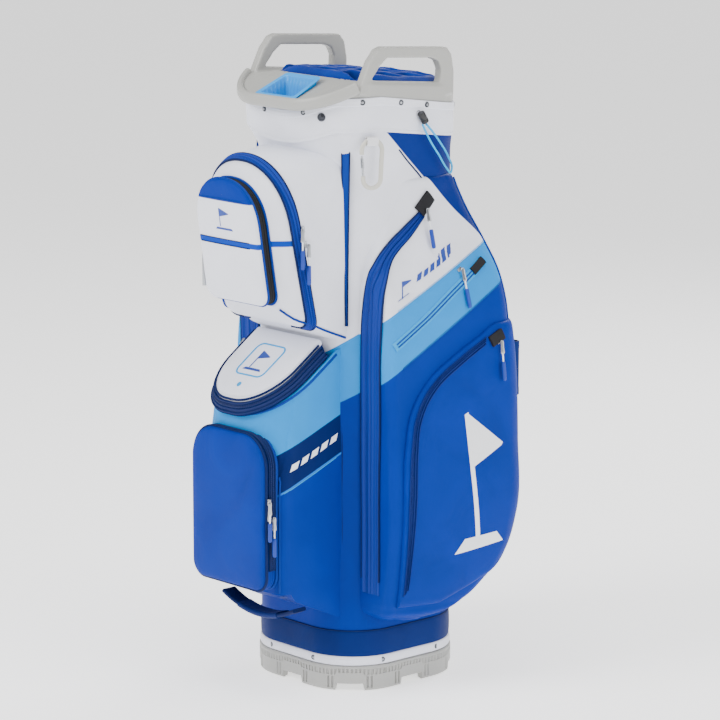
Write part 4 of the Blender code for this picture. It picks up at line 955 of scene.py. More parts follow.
class GOLFBAG_OT_cord(bpy.types.Operator):
    """The elastic umbrella loop and the barrel lock that it comes out of"""
    bl_idname = "golf_bag.cord"
    bl_label = "Umbrella cord"

    def execute(self, context):
        low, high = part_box("cord_lock")
        middle = np.array((low + high) / 2)
        along = np.array([0.0, 0.55, -0.84])
        along /= np.linalg.norm(along)
        side = np.array([1.0, 0.0, 0.0])
        across = np.cross(along, side)
        turn = np.linspace(0, 2 * math.pi, 33)[:-1]
        flat = np.cos(turn)[:, None] * side + np.sin(turn)[:, None] * across
        profile = ((-0.0085, 0.0040), (-0.0082, 0.0050), (-0.0070, 0.0055), (0.0020, 0.0055),
                   (0.0028, 0.0049), (0.0036, 0.0055), (0.0080, 0.0053), (0.0086, 0.0042))
        lock = solid("umbrella_lock_barrel", capped([middle + along * h + flat * r for h, r in profile]),
                     look("black_plastic"))
        put(lock, "bag", "black_plastic", "cord_lock")
        disc = [(0.0005, 0.0074), (0.0022, 0.0074), (0.0030, 0.0066), (0.0034, 0.0046), (0.0024, 0.0036)]
        spot = np.array([low.x - 0.0030, middle[1] - 0.0035, middle[2] + 0.0042])
        face = np.stack([np.zeros_like(turn), np.cos(turn), np.sin(turn)], axis=1)
        grommet = solid("umbrella_grommet", capped([spot + side * h + face * r for h, r in disc]),
                        look("gunmetal"))
        put(grommet, "bag", "black_plastic")
        path = np.array(spline(lengths(np.array(CORD_ROUTE)), np.array(CORD_ROUTE),
                               np.linspace(0, lengths(np.array(CORD_ROUTE))[-1], 90)))
        data = bpy.data.curves.new("umbrella_elastic", "CURVE")
        data.dimensions = "3D"
        data.bevel_depth, data.bevel_resolution, data.use_fill_caps = 0.0015, 3, True
        line = data.splines.new("POLY")
        line.points.add(len(path) - 1)
        line.points.foreach_set("co", np.column_stack([path, np.ones(len(path))]).reshape(-1))
        data.materials.append(look("sky_elastic_cord"))
        cord = bpy.data.objects.new("umbrella_elastic", data)
        context.scene.collection.objects.link(cord)
        put(cord, "bag", "sky_elastic", "umbrella_cord")
        return {"FINISHED"}


# ================================================================ base, tube and trim
class GOLFBAG_OT_base(bpy.types.Operator):
    """The moulded base, with notches under it and recessed ribs round it"""
    bl_idname = "golf_bag.base"
    bl_label = "Base"

    def execute(self, context):
        count = 1152
        plan = tube_plan(TUBE_HALF + 0.0035, count)
        angle = np.degrees(np.arctan2(plan[:, 0], -plan[:, 1])) % 360
        along = lengths(np.concatenate([plan, plan[:1]]))
        middles = np.interp(np.arange(0, 361, 45) % 360, *zip(*sorted(zip(angle, along[:-1]))))
        apart = np.abs((along[:-1, None] - middles[None, :] + along[-1] / 2) % along[-1] - along[-1] / 2)
        near = apart.min(1)
        notch = 0.010 * (1 - smooth_step(0.0195, 0.0220, near))
        rib = smooth_step(0.0245, 0.0252, near) * (1 - smooth_step(0.0268, 0.0275, near))
        rib += smooth_step(0.0305, 0.0312, near) * (1 - smooth_step(0.0328, 0.0335, near))
        tooth = 0.5 + 0.5 * np.sign(np.cos(near * 2 * math.pi / 0.0060))
        rows = []
        for share, inset, cut in ((0.0, 0.0030, 0), (0.02, 0.0012, 0), (0.06, 0.0003, 0), (0.10, 0.0, 0),
                                  (0.14, 0.0, 1), (0.55, 0.0, 1), (0.60, 0.0, 0), (0.64, 0.0, 0),
                                  (0.67, 0.0, 2), (0.84, 0.0, 2), (0.87, 0.0, 0),
                                  (0.96, 0.0, 0), (0.99, 0.0006, 0), (1.0, 0.0020, 0)):
            depth = inset + (0.0022 * rib if cut == 1 else 0.0014 * (1 - tooth) if cut == 2 else 0)
            ring = plan * (1 - np.broadcast_to(depth, count) / (TUBE_HALF + 0.0035))[:, None]
            rows.append(at_height(ring, notch + share * (0.0365 - notch)))
        top = [at_height(tube_plan(0.1190, count), 0.0365), at_height(tube_plan(0.1120, count), 0.0365),
               at_height(tube_plan(0.1110, count), 0.0180)]
        under_side = [at_height(tube_plan(0.1135, count), 0.0130),
                      at_height(tube_plan(0.1145, count), np.maximum(notch, 0.002)),
                      at_height(tube_plan(0.1190, count), notch)]
        base = solid("moulded_base", capped([*under_side, *rows, *top]), look("grey_moulding"), sharp=32)
        put(base, "bag", "grey_moulding", "base")
        for k, turn in enumerate(np.radians(np.arange(22.5, 360, 45))):
            foot = np.argmin(np.abs((np.arctan2(plan[:, 0], -plan[:, 1]) - turn + math.pi)
                                    % (2 * math.pi) - math.pi))
            spot = np.array([*plan[foot] * 0.905, 0.0])
            disc = circle(0.0085, 28)
            pad = [at_height(spot[:2] + disc * s, z) for s, z in
                   ((1.0, 0.0130), (1.0, 0.0022), (0.94, 0.0010), (0.80, 0.0004))]
            foot_pad = solid("base_foot_%d" % (k + 1), capped(pad), look("black_plastic"))
            put(foot_pad, "bag", "grey_moulding")
        return {"FINISHED"}


class GOLFBAG_OT_tube(bpy.types.Operator):
    """The cloth tube with its slanted panels, lower cuff, band, rivets and seams"""
    bl_idname = "golf_bag.tube"
    bl_label = "Tube"

    def execute(self, context):
        fold = settings().fold
        heights = np.linspace(0.0370, 0.7855, 150)
        wall = np.stack([at_height(tube_plan(TUBE_HALF), h) for h in heights])
        outer = folded(wall, 3, fold * 0.7, low=5, high=16)
        plan, cuff = tube_plan(TUBE_HALF), oblong(0.1212, -0.1372, 0.1212, 0.074, 0.079)
        yoke = []
        for share in np.linspace(0.1, 1, 12):
            mixed = plan + (cuff - plan) * smooth_step(0.0, 1.0, share)
            edge = 0.792 + rise(cuff[:, 0], cuff[:, 1])
            yoke.append(at_height(mixed, 0.764 + share * (edge - 0.764)))
        outer = np.concatenate([outer[heights < 0.765], np.stack(yoke)])
        inner = [at_height(tube_plan(TUBE_HALF - 0.0030), h) for h in (0.7860, 0.40, 0.0370)]
        tube = solid("tube_cloth", np.concatenate([outer, np.stack(inner)]), look("tube_fabric"), along=True)
        put(tube, "bag", "white_fabric", "body_shell")

        def collar_ring(name, low, high, thick, paint, slot, node, seed):
            turn = np.linspace(0, 1, 22)
            puff = thick * np.sin(math.pi * turn) ** 0.35
            rows = [at_height(tube_plan(TUBE_HALF + 0.0003 + p), low + (high - low) * t)
                    for t, p in zip(turn, puff)]
            rows = folded(np.stack(rows), seed, fold * 0.25, low=8, high=40)
            back = [at_height(tube_plan(TUBE_HALF + 0.0001), h) for h in (high, low)]
            ring = solid(name, np.concatenate([rows, np.stack(back)]), look(paint), along=True)
            return put(ring, "bag", slot, node)

        collar_ring("lower_cuff_cloth", 0.0508, 0.0880, 0.0013, "navy_fabric", "navy_fabric", "lower_cuff", 5)
        collar_ring("lower_band_cloth", 0.0369, 0.0505, 0.0022, "white_fabric", "white_fabric",
                    "lower_band", 6)
        plan = tube_plan(TUBE_HALF + 0.0021)
        for k, degrees in enumerate((-157, -112, -68, -21, 21, 66, 112, 157)):
            bearing = np.degrees(np.arctan2(plan[:, 0], -plan[:, 1]))
            at = np.argmin(np.abs((bearing - degrees + 180) % 360 - 180))
            stud("base_rivet_%d" % (k + 1), np.array([*plan[at], 0.0440]),
                 np.array([*(plan[at] / np.linalg.norm(plan[at])), 0]), 0.0036)
        edge = plan - plan / np.linalg.norm(plan, axis=1, keepdims=True) * 0.0004
        out = np.column_stack([plan / np.linalg.norm(plan, axis=1, keepdims=True), np.zeros(len(plan))])
        seam = sweep("lower_cuff_seam", at_height(edge * 0.9925, 0.0885), out, circle(0.0010, 8),
                     look("navy_piping"), closed=True)
        put(seam, "bag", "navy_fabric")
        for side, word in ((1, "right"), (-1, "left")):
            mirror = np.array([side, 1, 1])
            slot_left = np.array([(0.0849, -0.1012, 0.797), (0.0882, -0.103, 0.7256),
                                  (0.0897, -0.1018, 0.6293), (0.0938, -0.1017, 0.5329)]) * mirror
            slot_right = np.array([(0.0943, -0.0938, 0.7972), (0.0959, -0.0971, 0.7259),
                                   (0.0947, -0.098, 0.6295), (0.0945, -0.0989, 0.5325)]) * mirror
            grid = ruled(through(slot_left, 60), through(slot_right, 60), 6)
            lift = np.linspace(0.0062, 0.0022, 60)[None, :, None]
            put(patch("strap_slot_" + word, None, grid, lift, look("royal_piping")), "bag", "royal_fabric")
            for k, line in enumerate((slot_left, slot_right)):
                rise_out = np.linspace(0.0060, 0.0022, 90)[:, None]
                path = through(line, 90) + rise_out * (side * 0.75, -0.66, 0)
                edge = sweep("strap_slot_edge_%s_%d" % (word, k), path, (side * 0.75, -0.66, 0),
                                 circle(0.0011, 8),
                             look("navy_piping"))
                put(edge, "bag", "navy_fabric")
            core = np.array([(0.1159, -0.0447, 0.8011), (0.12, -0.0109, 0.7633), (0.12, 0.0154, 0.7375),
                             (0.1233, 0.0354, 0.7155), (0.1225, 0.0561, 0.7035)]) * mirror
            put(piping("core_seam_" + word, tube, core, 0.0011, look("navy_piping"), 80), "bag",
                "navy_fabric")
            dots = np.linspace((0.1050, -0.0800, 0.700), (0.1050, -0.0800, 0.600), 12) * mirror
            for k, dot in enumerate(dots):
                size = 0.0024 if k % 11 else 0.0016
                across = np.array([0.45, 0.89, 0]) * mirror * 0.0017
                tall = np.array([0, 0, size])
                grid = ruled([dot - across - tall, dot + across - tall],
                             [dot - across + tall, dot + across + tall], 2)
                put(patch("slot_mark_%s_%d" % (word, k + 1), tube, grid, 0.0003, look("navy_print")),
                    "bag", "royal_fabric")
        return {"FINISHED"}


def stud(name, spot, out, radius, centre="plated_zinc"):
    """A domed rivet in a dark washer: two turned profiles about the way that it faces."""
    out = np.asarray(out, float) / np.linalg.norm(out)
    side = np.cross(out, (0.02, 0.05, 1.0))
    side /= np.linalg.norm(side)
    up = np.cross(side, out)
    turn = np.linspace(0, 2 * math.pi, 29)[:-1]
    flat = np.cos(turn)[:, None] * side + np.sin(turn)[:, None] * up
    washer = ((-0.0010, 1.0), (0.0003, 1.0), (0.0007, 0.93), (0.0007, 0.60), (0.0003, 0.55))
    dome = ((-0.0004, 0.54), (0.0006, 0.52), (0.0011, 0.40), (0.0013, 0.20))
    ring = solid(name + "_washer", capped([spot + out * h + flat * radius * r for h, r in washer]),
                 look("gunmetal"))
    cap = solid(name + "_head", capped([spot + out * h + flat * radius * r for h, r in dome]), look(centre))
    for piece in (ring, cap):
        put(piece, "bag", "plated_zinc")


class GOLFBAG_OT_cuff(bpy.types.Operator):
    """The white cuff under the collar, its welt, its stitches, rivets and snap"""
    bl_idname = "golf_bag.cuff"
    bl_label = "Upper cuff"

    def execute(self, context):
        plan = oblong(0.1225, -0.139, 0.1225, 0.075, 0.080)
        x, y = plan.T
        low, high = 0.787 + rise(x, y), 0.834 + 1.1 * rise(x, y)
        out = plan / np.linalg.norm(plan, axis=1, keepdims=True)
        rows = []
        for share, lift in ((0.0, -0.0006), (0.015, 0.0001), (0.04, 0.0004), (0.09, 0.0004), (0.10, 0.0001),
                            (0.11, 0.0004), (0.25, 0.0007), (0.5, 0.0009), (0.72, 0.0006), (0.765, 0.0002),
                            (0.78, 0.0016), (0.80, 0.0021), (0.835, 0.0016), (0.87, 0.0021), (0.93, 0.0021),
                            (0.965, 0.0016), (0.985, 0.0020), (1.0, 0.0010)):
            rows.append(at_height(plan + out * lift, low + share * (high - low)))
        rows = folded(np.stack(rows), 11, settings().fold * 0.2, low=6, high=26, gap=3)
        inner = [at_height(plan - out * 0.0020, high), at_height(plan - out * 0.0020, low)]
        cuff = solid("upper_cuff_cloth", np.concatenate([rows, np.stack(inner)]), look("white_fabric"),
                     along=True)
        put(cuff, "bag", "white_fabric", "upper_cuff")
        for k, degrees in enumerate((-158, -120, -78, -50, -14, 19, 52, 79, 101, 140, 172)):
            at = np.argmin(np.abs((np.degrees(np.arctan2(x, -y)) - degrees + 180) % 360 - 180))
            spot = np.array([*(plan[at] + out[at] * 0.0022), low[at] + 0.885 * (high[at] - low[at])])
            stud("cuff_rivet_%d" % (k + 1), spot, [*out[at], 0], 0.0040)
        at = np.argmin(np.abs(np.degrees(np.arctan2(x, -y)) - 31))
        spot = np.array([*(plan[at] + out[at] * 0.0016), low[at] + 0.60 * (high[at] - low[at])])
        stud("cuff_snap", spot, [*out[at], 0], 0.0060, "gunmetal")
        stitches = at_height(plan + out * 0.0006, low + 0.0046)
        row = evenly(stitches, 300, closed=True)
        starts, stops = row[::2], row[1::2]
        dash = np.linspace(0, 1, 4)[:, None, None]
        lines = starts + (stops - starts) * (0.15 + 0.7 * dash)
        ring = circle(0.00028, 6)
        facing = np.column_stack([starts[:, :2], np.zeros(len(starts))])
        facing /= np.linalg.norm(facing, axis=1, keepdims=True)
        up = np.array([0, 0, 1.0])
        thread = lines[:, :, None] + facing[None, :, None] * ring[:, :1] + up * ring[:, 1:]
        thread = thread.transpose(1, 0, 2, 3)
        pieces = [solid("cuff_stitch_%d" % k, capped(list(rings)), look("white_print"))
                  for k, rings in enumerate(thread)]
        put(joined(pieces, "cuff_stitches"), "bag", "white_fabric")
        return {"FINISHED"}


class GOLFBAG_OT_collar(bpy.types.Operator):
    """The moulded collar and its two carrying handles"""
    bl_idname = "golf_bag.collar"
    bl_label = "Collar"

    def execute(self, context):
        collar = softened("top_collar", "moulded_collar", look("grey_moulding"), 0.0016, passes=7)
        put(collar, "bag", "grey_moulding", "top_collar")
        plan = oblong(0.1195, -0.1555, 0.10, 0.080, 0.05)
        front = plan[(plan[:, 1] < -0.098)]
        front = front[np.argsort(front[:, 0])]
        path = evenly(at_height(front, rim(front[:, 0], front[:, 1]) - 0.0030), 260)
        out = np.column_stack([path[:, 0] * 0.8, path[:, 1] + 0.06, np.zeros(260)])
        out /= np.linalg.norm(out, axis=1, keepdims=True)
        turn = np.linspace(0, 2 * math.pi, 33)[:-1]
        oval = np.stack([0.0088 * np.sign(np.cos(turn)) * np.abs(np.cos(turn)) ** 0.8,
                         0.0052 * np.sign(np.sin(turn)) * np.abs(np.sin(turn)) ** 0.8], axis=1)
        put(sweep("collar_front_lip", path, out, oval, look("grey_moulding")), "bag", "grey_moulding")
        return {"FINISHED"}


class GOLFBAG_OT_dividers(bpy.types.Operator):
    """The padded divider top, the divider sheets and the glass-fibre stays"""
    bl_idname = "golf_bag.dividers"
    bl_label = "Dividers"

    def execute(self, context):
        grid = softened("divider_grid", "padded_divider_top", look("divider_lining"), 0.0018, passes=10)
        points = np.empty(len(grid.data.vertices) * 3)
        grid.data.vertices.foreach_get("co", points)
        points = points.reshape(-1, 3)
        top = rim(points[:, 0], points[:, 1]) + 0.006
        share = smooth_step(-0.016, 0.0, points[:, 2] - top)
        points[:, 2] += share * (0.0016 * ripple(points[:, 0], points[:, 1], 21, low=30, high=120)
                                 + 0.0050 * (1 - (points[:, 0] / 0.12) ** 2))
        waver = ripple(points[:, 1], points[:, 2], 22, low=60, high=160)
        points[:, :2] += share[:, None] * 0.0007 * waver[:, None]
        grid.data.vertices.foreach_set("co", points.reshape(-1))
        put(grid, "bag", "navy_padding", "divider_grid")
        for node in ("divider_sheet_1", "divider_sheet_2", "divider_sheet_3"):
            dress(node, "navy_lining")
        for node in ("stay_front_left", "stay_front_right", "stay_rear_left", "stay_rear_right"):
            put(refined(node, node + "_rod", look("glass_fibre"), bevel=0.0005), "bag", "glass_fibre", node)
        return {"FINISHED"}


class GOLFBAG_OT_putter_well(bpy.types.Operator):
    """The moulded putter well: a flared cup with a flat rim and ribs inside"""
    bl_idname = "golf_bag.putter_well"
    bl_label = "Putter well"

    def execute(self, context):
        count = 480
        unit = oblong(1.0, -1.0, 1.0, 0.18, 0.18, count)

        def ring(grow, front, height):
            share = (unit[:, 1] + 1) / 2
            y = (front - grow) + share * (-0.100 + grow - front + grow)
            half = 0.033 + 0.005 * np.clip((-0.100 - y) / 0.049, 0, 1) + grow
            z = height(unit[:, 0] * half, y) if callable(height) else np.full(count, height)
            return np.column_stack([unit[:, 0] * half, y, z])

        def over(lift):
            return lambda x, y: rim(x, np.maximum(y, -0.150)) + lift

        def ribbed(grow, front, height):
            made = ring(grow, front, height)
            ahead = np.roll(made, -1, axis=0) - np.roll(made, 1, axis=0)
            inwards = np.column_stack([-ahead[:, 1], ahead[:, 0]])
            inwards /= np.linalg.norm(inwards, axis=1, keepdims=True)
            along = lengths(made[:, :2])
            wave = smooth_step(0.35, 0.75, np.cos(2 * math.pi * along / 0.0068))
            toward = -np.sign((inwards * (made[:, :2] - made[:, :2].mean(0))).sum(1))[:, None]
            made[:, :2] += toward * inwards * 0.0011 * wave[:, None]
            return made

        rows = [ring(0.0, -0.1315, 0.7905), ring(0.0, -0.1315, 0.8355), ring(0.0, -0.1490, over(-0.006)),
                ring(0.0008, -0.1490, over(0.0004)), ring(0.0044, -0.1490, over(0.0014)),
                ring(0.0048, -0.1490, over(0.0024)), ring(0.0042, -0.1490, over(0.0032)),
                ring(0.0030, -0.1490, over(0.0036)), ring(-0.0008, -0.1490, over(0.0036)),
                ring(-0.0018, -0.1490, over(0.0030)), ring(-0.0023, -0.1490, over(0.0016)),
                ring(-0.0024, -0.1490, over(-0.0030)), ribbed(-0.0026, -0.1490, over(-0.0045)),
                ribbed(-0.0032, -0.146, over(-0.012)),
                ribbed(-0.0040, -0.1345, 0.8300), ribbed(-0.0044, -0.1335, 0.7950),
                 ring(-0.0050, -0.1335, 0.7930)]
        well = solid("putter_well_cup", capped(rows), look("sky_moulding"), sharp=60)
        put(well, "bag", "sky_moulding", "putter_well")
        return {"FINISHED"}


# ================================================================ upper pocket
def outlined(section, grow=0.0):
    """Points of an arched section on its slanted plane, grown outwards in its own plane."""
    half, low, high, power, at, slant = section
    return stand(arch(half + grow, low - grow, high + grow, power), at, slant)


UPPER_SECTIONS = ((0.094, 0.507, 0.780, 5.0, -0.100, 0.0), (0.089, 0.527, 0.779, 3.2, -0.140, 0.03),
                  (0.087, 0.531, 0.776, 2.3, -0.147, 0.19), (0.080, 0.541, 0.763, 2.25, -0.171, 0.19),
                  (0.067, 0.566, 0.750, 2.2, -0.1938, 0.16))


def section_between(share):
    """The upper pocket's section at a share from the tube (0) to the face (1), as its five sizes."""
    table = np.array(UPPER_SECTIONS)
    knots = np.array([0.0, 0.42, 0.52, 0.76, 1.0])
    return spline(knots, table, share)


class GOLFBAG_OT_upper_pocket(bpy.types.Operator):
    """The upper pocket: its rear part on the tube, the part that opens, and its big zip"""
    bl_idname = "golf_bag.upper_pocket"
    bl_label = "Upper pocket"

    def execute(self, context):
        fold = settings().fold
        rear = [outlined(section_between(s), 0.0012 * math.sin(math.pi * s / 0.55)) for s in
                np.linspace(0, 0.615, 34)]
        rear = folded(np.stack(rear), 31, fold * 1.3, low=8, high=34, gap=4)
        lip = [shrunk(rear[-1], 0.985, (0, -0.0010, 0)), shrunk(rear[-1], 0.955, (0, -0.0010, 0)),
               shrunk(rear[-1], 0.955, (0, 0.0300, 0)), shrunk(rear[0], 0.92)]
        body = solid("upper_pocket_rear_cloth", np.concatenate([rear, np.stack(lip)]), look("white_fabric"),
                     along=True)
        put(body, "bag", "white_fabric", "upper_pocket_body")

        front = [outlined(section_between(s), 0.0016 * math.sin(math.pi * (s - 0.6) / 0.4)) for s in
                 np.linspace(0.63, 0.985, 24)]
        front = folded(np.stack(front), 32, fold, low=8, high=30, gap=3)
        back = [shrunk(front[0], s, (0, 0.0006 if s > 0.95 else 0.0030, 0)) for s in (0.90, 0.955, 0.985)]
        face = pillow(shrunk(front[-1], 0.985, (0, -0.0012, 0.0)), (0, -1, 0), 0.0014, count=10)
        nose = solid("upper_pocket_nose_cloth", capped([*back, *front, *face[:-1]]), look("nose_fabric"))
        put(nose, "upper_front_body", "white_fabric", "upper_pocket_front")

        # the big zip in two halves, so that it parts as the nose opens
        count = AROUND
        keep = np.arange(int(0.070 * count), int(0.930 * count))
        for name, body_name, start, stop, low, high in (("rear", "bag", 0.548, 0.612, 0.0, 0.5),
                                                        ("front", "upper_front_body", 0.616, 0.680, 0.5, 1.0)):
            rows = []
            for s, share in zip(np.linspace(start, stop, 30), np.linspace(low, high, 30)):
                ring = outlined(section_between(s), 0.0006 + float(banded(share)))[keep]
                rows.append(evenly(ring, 300))
            put(patch("upper_zip_" + name, None, np.stack(rows).transpose(1, 0, 2)[:, ::-1], 0.0,
                      look("upper_zip")), body_name, "royal_fabric")
        for name, body_name, s in (("rear", "bag", 0.546), ("front", "upper_front_body", 0.683)):
            ring = evenly(outlined(section_between(s), 0.0018)[keep], 300)
            out = ring - ring.mean(0)
            out /= np.linalg.norm(out, axis=1, keepdims=True)
            put(sweep("upper_zip_piping_" + name, ring, out, circle(0.0018, 10),
                      look("navy_piping")), body_name,
                "navy_fabric")
        for side, word in ((1, "right"), (-1, "left")):
            front_line = [(side * x, y, z) for x, y, z in
                          ((0.0600, -0.1900, 0.5680), (0.0700, -0.1800, 0.5560), (0.0800, -0.1640, 0.5450))]
            put(piping("upper_nose_seam_" + word, nose, front_line, 0.0016, look("royal_piping"), 60),
                "upper_front_body", "royal_fabric")
            rear_line = [(side * x, y, z) for x, y, z in
                         ((0.0840, -0.1520, 0.5370), (0.0880, -0.1300, 0.5290), (0.0935, -0.1010, 0.5150))]
            put(piping("upper_foot_seam_" + word, body, rear_line, 0.0016, look("royal_piping"), 70), "bag",
                "royal_fabric")
        return {"FINISHED"}


class GOLFBAG_OT_valuables(bpy.types.Operator):
    """The valuables pocket with its black zip, and the padded face that folds down"""
    bl_idname = "golf_bag.valuables"
    bl_label = "Valuables pocket"

    def execute(self, context):
        shape = arch(0.0645, 0.569, 0.747, 2.3, count=AROUND)
        middle = shape.mean(0)

        def ring(grow, at):
            out = (shape - middle) / np.linalg.norm(shape - middle, axis=1, keepdims=True)
            return stand(shape + out * grow, at, FACE_SLANT)

        depths = np.linspace(-0.1945, -0.2088, 40)
        share = (depths - depths[0]) / (depths[-1] - depths[0])
        off = np.abs(share - 0.5) * 0.0143
        height = -0.0022 + 0.0010 * np.exp(-((off - 0.0024) / 0.0016) ** 2)
        height -= 0.0012 * np.exp(-(off / 0.0006) ** 2)
        rows = [ring(h, d) for h, d in zip(height, depths)]
        tray = solid("valuables_gusset", capped(rows), look("black_cloth"), sharp=70)
        put(tray, "upper_front_body", "black_tape", "valuables_pocket")
        for name, at, radius, paint, body in (("rear", -0.1950, 0.0019, "royal_piping", "upper_front_body"),
                                              ("front", -0.2100, 0.0018, "royal_piping", "valuables_flap_body")):
            line = ring(-0.0006, at)
            out = line - line.mean(0)
            out /= np.linalg.norm(out, axis=1, keepdims=True)
            bead = sweep("valuables_piping_" + name, line, out, circle(radius, 10), look(paint), closed=True)
            put(bead, body, "royal_fabric")
        full = settings().fullness
        rim_ring = ring(-0.0008, -0.2098)
        rows = [shrunk(rim_ring, 0.93, (0, 0.0008, 0)), rim_ring, ring(-0.0006, -0.2124)]
        rows += pillow(ring(-0.0012, -0.2140), (0, -0.987, -0.158), 0.0022 + full * 0.8, count=20,
                       power=3.4)[:-1]
        rows = folded(np.stack(rows), 41, 0.0005, low=10, high=30, gap=3)
        flap = solid("valuables_face", capped(list(rows)), look("face_fabric"))
        put(flap, "valuables_flap_body", "white_fabric", "valuables_flap")

        def across(z, half, count=60):
            x = np.linspace(-half, half, count)
            return np.column_stack([x, np.full(count, -0.25), np.full(count, z)])

        def cast(points):
            return land(flap, points, (0, 1, 0))[0]

        curve_low = across(0.7165, 0.050)
        curve_low[:, 2] += 0.0010 * np.cos(np.linspace(-math.pi / 2, math.pi / 2, 60))
        put(piping("valuables_cap_seam", flap, cast(curve_low)[::6], 0.0008, look("royal_piping"), 90),
            "valuables_flap_body", "royal_fabric")
        diamond = np.array([(0, 0.0034), (0.0030, 0), (0, -0.0034), (-0.0030, 0)])
        corners = np.array([(x, -0.25, 0.7275 + z) for x, z in diamond])
        grid = cast(np.array([corners[0], corners[1], corners[3], corners[2]])).reshape(2, 2, 3)
        put(patch("valuables_diamond", flap, grid, 0.0004, look("white_print")), "valuables_flap_body",
            "white_fabric")
        # a generic mark: a flag on its pole over a low mound
        for k, (one, other) in enumerate((
                (((-0.010, 0.678), (-0.010, 0.704)), ((-0.0088, 0.678), (-0.0088, 0.704))),
                (((-0.0088, 0.704), (0.011, 0.6975)), ((-0.0088, 0.692), (0.010, 0.6965))),
                (((-0.020, 0.6735), (0.017, 0.6735)), ((-0.017, 0.6765), (0.014, 0.6765))))):
            rows = [cast(evenly(np.array([(x, -0.25, z) for x, z in pair]), 14)) for pair in (one, other)]
            put(patch("valuables_mark_%d" % (k + 1), flap, ruled(*rows, 4), 0.0004, look("navy_print")),
                "valuables_flap_body", "royal_fabric")
        for z, name in ((0.6520, "low"), (0.6600, "high")):
            put(piping("valuables_stripe_" + name, flap, cast(across(z, 0.058))[::6], 0.0006,
                       look("navy_piping"), 90), "valuables_flap_body", "royal_fabric")
        return {"FINISHED"}


# ================================================================ lower module
def module_outline(height, grow=0.0):
    """Plan of the lower module at a height: its front gets rounder and reaches further forward higher up."""
    knots = np.array([0.11, 0.30, 0.355, 0.395, 0.418, 0.56])
    front = np.interp(height, knots, (-0.218, -0.218, -0.220, -0.229, -0.229, -0.229))
    corner = np.interp(height, knots, (0.014, 0.014, 0.036, 0.064, 0.070, 0.070))
    half = np.interp(height, knots, (0.086, 0.087, 0.087, 0.087, 0.087, 0.087))
    return oblong(half + grow, front - grow, -0.080, corner + grow, 0.003)


class GOLFBAG_OT_cooler(bpy.types.Operator):
    """The cooler pocket's cloth body, its seams, and its foil liner"""
    bl_idname = "golf_bag.cooler"
    bl_label = "Cooler pocket"

    def execute(self, context):
        rows = []
        for share in np.linspace(0, 1, 110):
            guess = 0.150 + share * 0.300
            for _ in range(2):
                plan = module_outline(float(np.mean(guess)))
                low = under(plan[:, 1]) + 0.0004
                high = np.minimum(lid_top(plan[:, 1]) - 0.0245, 0.500)
                guess = low + share * (high - low)
            plans = np.stack([module_outline(h) for h in np.linspace(0.11, 0.50, 40)])
            place = np.clip((guess - 0.11) / 0.39 * 39, 0, 38.999)
            first = place.astype(int)
            pick = np.arange(AROUND)
            part = (place - first)[:, None]
            plan = plans[first, pick] * (1 - part) + plans[first + 1, pick] * part
            low = under(plan[:, 1]) + 0.0004
            high = np.minimum(lid_top(plan[:, 1]) - 0.0245, 0.500)
            rows.append(at_height(plan, low + share * (high - low)))
        grid = np.stack(rows)
        swell = 0.0030 * np.sin(math.pi * np.linspace(0, 1, 110)) ** 0.6
        normals = fabric_normals(grid, True)
        side = np.abs(grid[..., 0]) > 0.080
        room = np.clip((-0.105 - grid[..., 1]) / 0.05, 0, 1) * np.clip((grid[..., 1] + 0.216) / 0.02, 0, 1)
        grid = grid + normals * (swell[:, None] * side * room)[..., None] * 0.9
        grid = folded(grid, 51, settings().fold * 1.7, low=10, high=46, gap=5)
        lip = [shrunk(grid[-1], s, (0, 0, z)) for s, z in ((0.985, 0.0006), (0.93, 0.0), (0.91, -0.012))]
        foot = [shrunk(grid[0], s, (0, 0, 0.0004)) for s in (0.5, 0.9, 0.985)]
        body = solid("cooler_cloth", capped([*foot, *grid, *lip]), look("flank_fabric"))
        NODES["cooler_pocket"].data.materials.clear()
        put(body, "bag", "royal_fabric", "cooler_pocket")
        # the corner seams of the front gusset, and the tape under the lid
        for side, word in ((1, "right"), (-1, "left")):
            seam = [(side * 0.0830, -0.2175, z) for z in np.linspace(0.162, 0.330, 8)]
            put(piping("module_corner_seam_" + word, body, seam, 0.0015, look("royal_piping"), 110), "bag",
                "royal_fabric")
            back = [(side * 0.0875, -0.1030, z) for z in np.linspace(0.125, 0.480, 10)]
            put(piping("module_back_seam_" + word, body, back, 0.0011, look("navy_piping"), 150), "bag",
                "navy_fabric")
            for name, offset in (("low", -0.0040), ("high", 0.0040)):
                y = np.linspace(-0.2120, -0.1150, 8)
                line = np.column_stack([np.full(8, side * 0.088), y,
                                        0.356 + 0.39 * (0.087 + y) + offset * 0.2])
                if name == "low":
                    put(piping("flank_stripe_" + word, body, line, 0.0007, look("sky_tape"), 90), "bag",
                        "sky_elastic")
            for k in range(5):
                y = -0.2010 + 0.0185 * k
                z = 0.3915 + 0.385 * (0.087 + y) - 0.0120
                box_low = np.array([(side * 0.088, y, z), (side * 0.088, y + 0.0125, z + 0.0048)])
                box_high = box_low + (0, 0.0040, 0.0105)
                grid_mark = ruled(evenly(box_low, 8), evenly(box_high, 8), 5)
                put(patch("flank_bar_%s_%d" % (word, k + 1), body, grid_mark, 0.0004, look("white_print")),
                    "bag", "white_fabric")
        edge = grid[-1]
        front = edge[(edge[:, 1] < -0.105)]
        front = front[np.argsort(np.arctan2(front[:, 0], -(front[:, 1] + 0.08)))]
        put(piping("cooler_mouth_piping", body, front[::6] - (0, 0, 0.0025), 0.0017,
                   look("royal_piping"), 260),
            "bag", "royal_fabric")
        liner = refined("cooler_liner", "cooler_foil_liner", look("foil_liner"), bevel=0.0006)
        put(liner, "bag", "foil_liner", "cooler_liner")
        return {"FINISHED"}


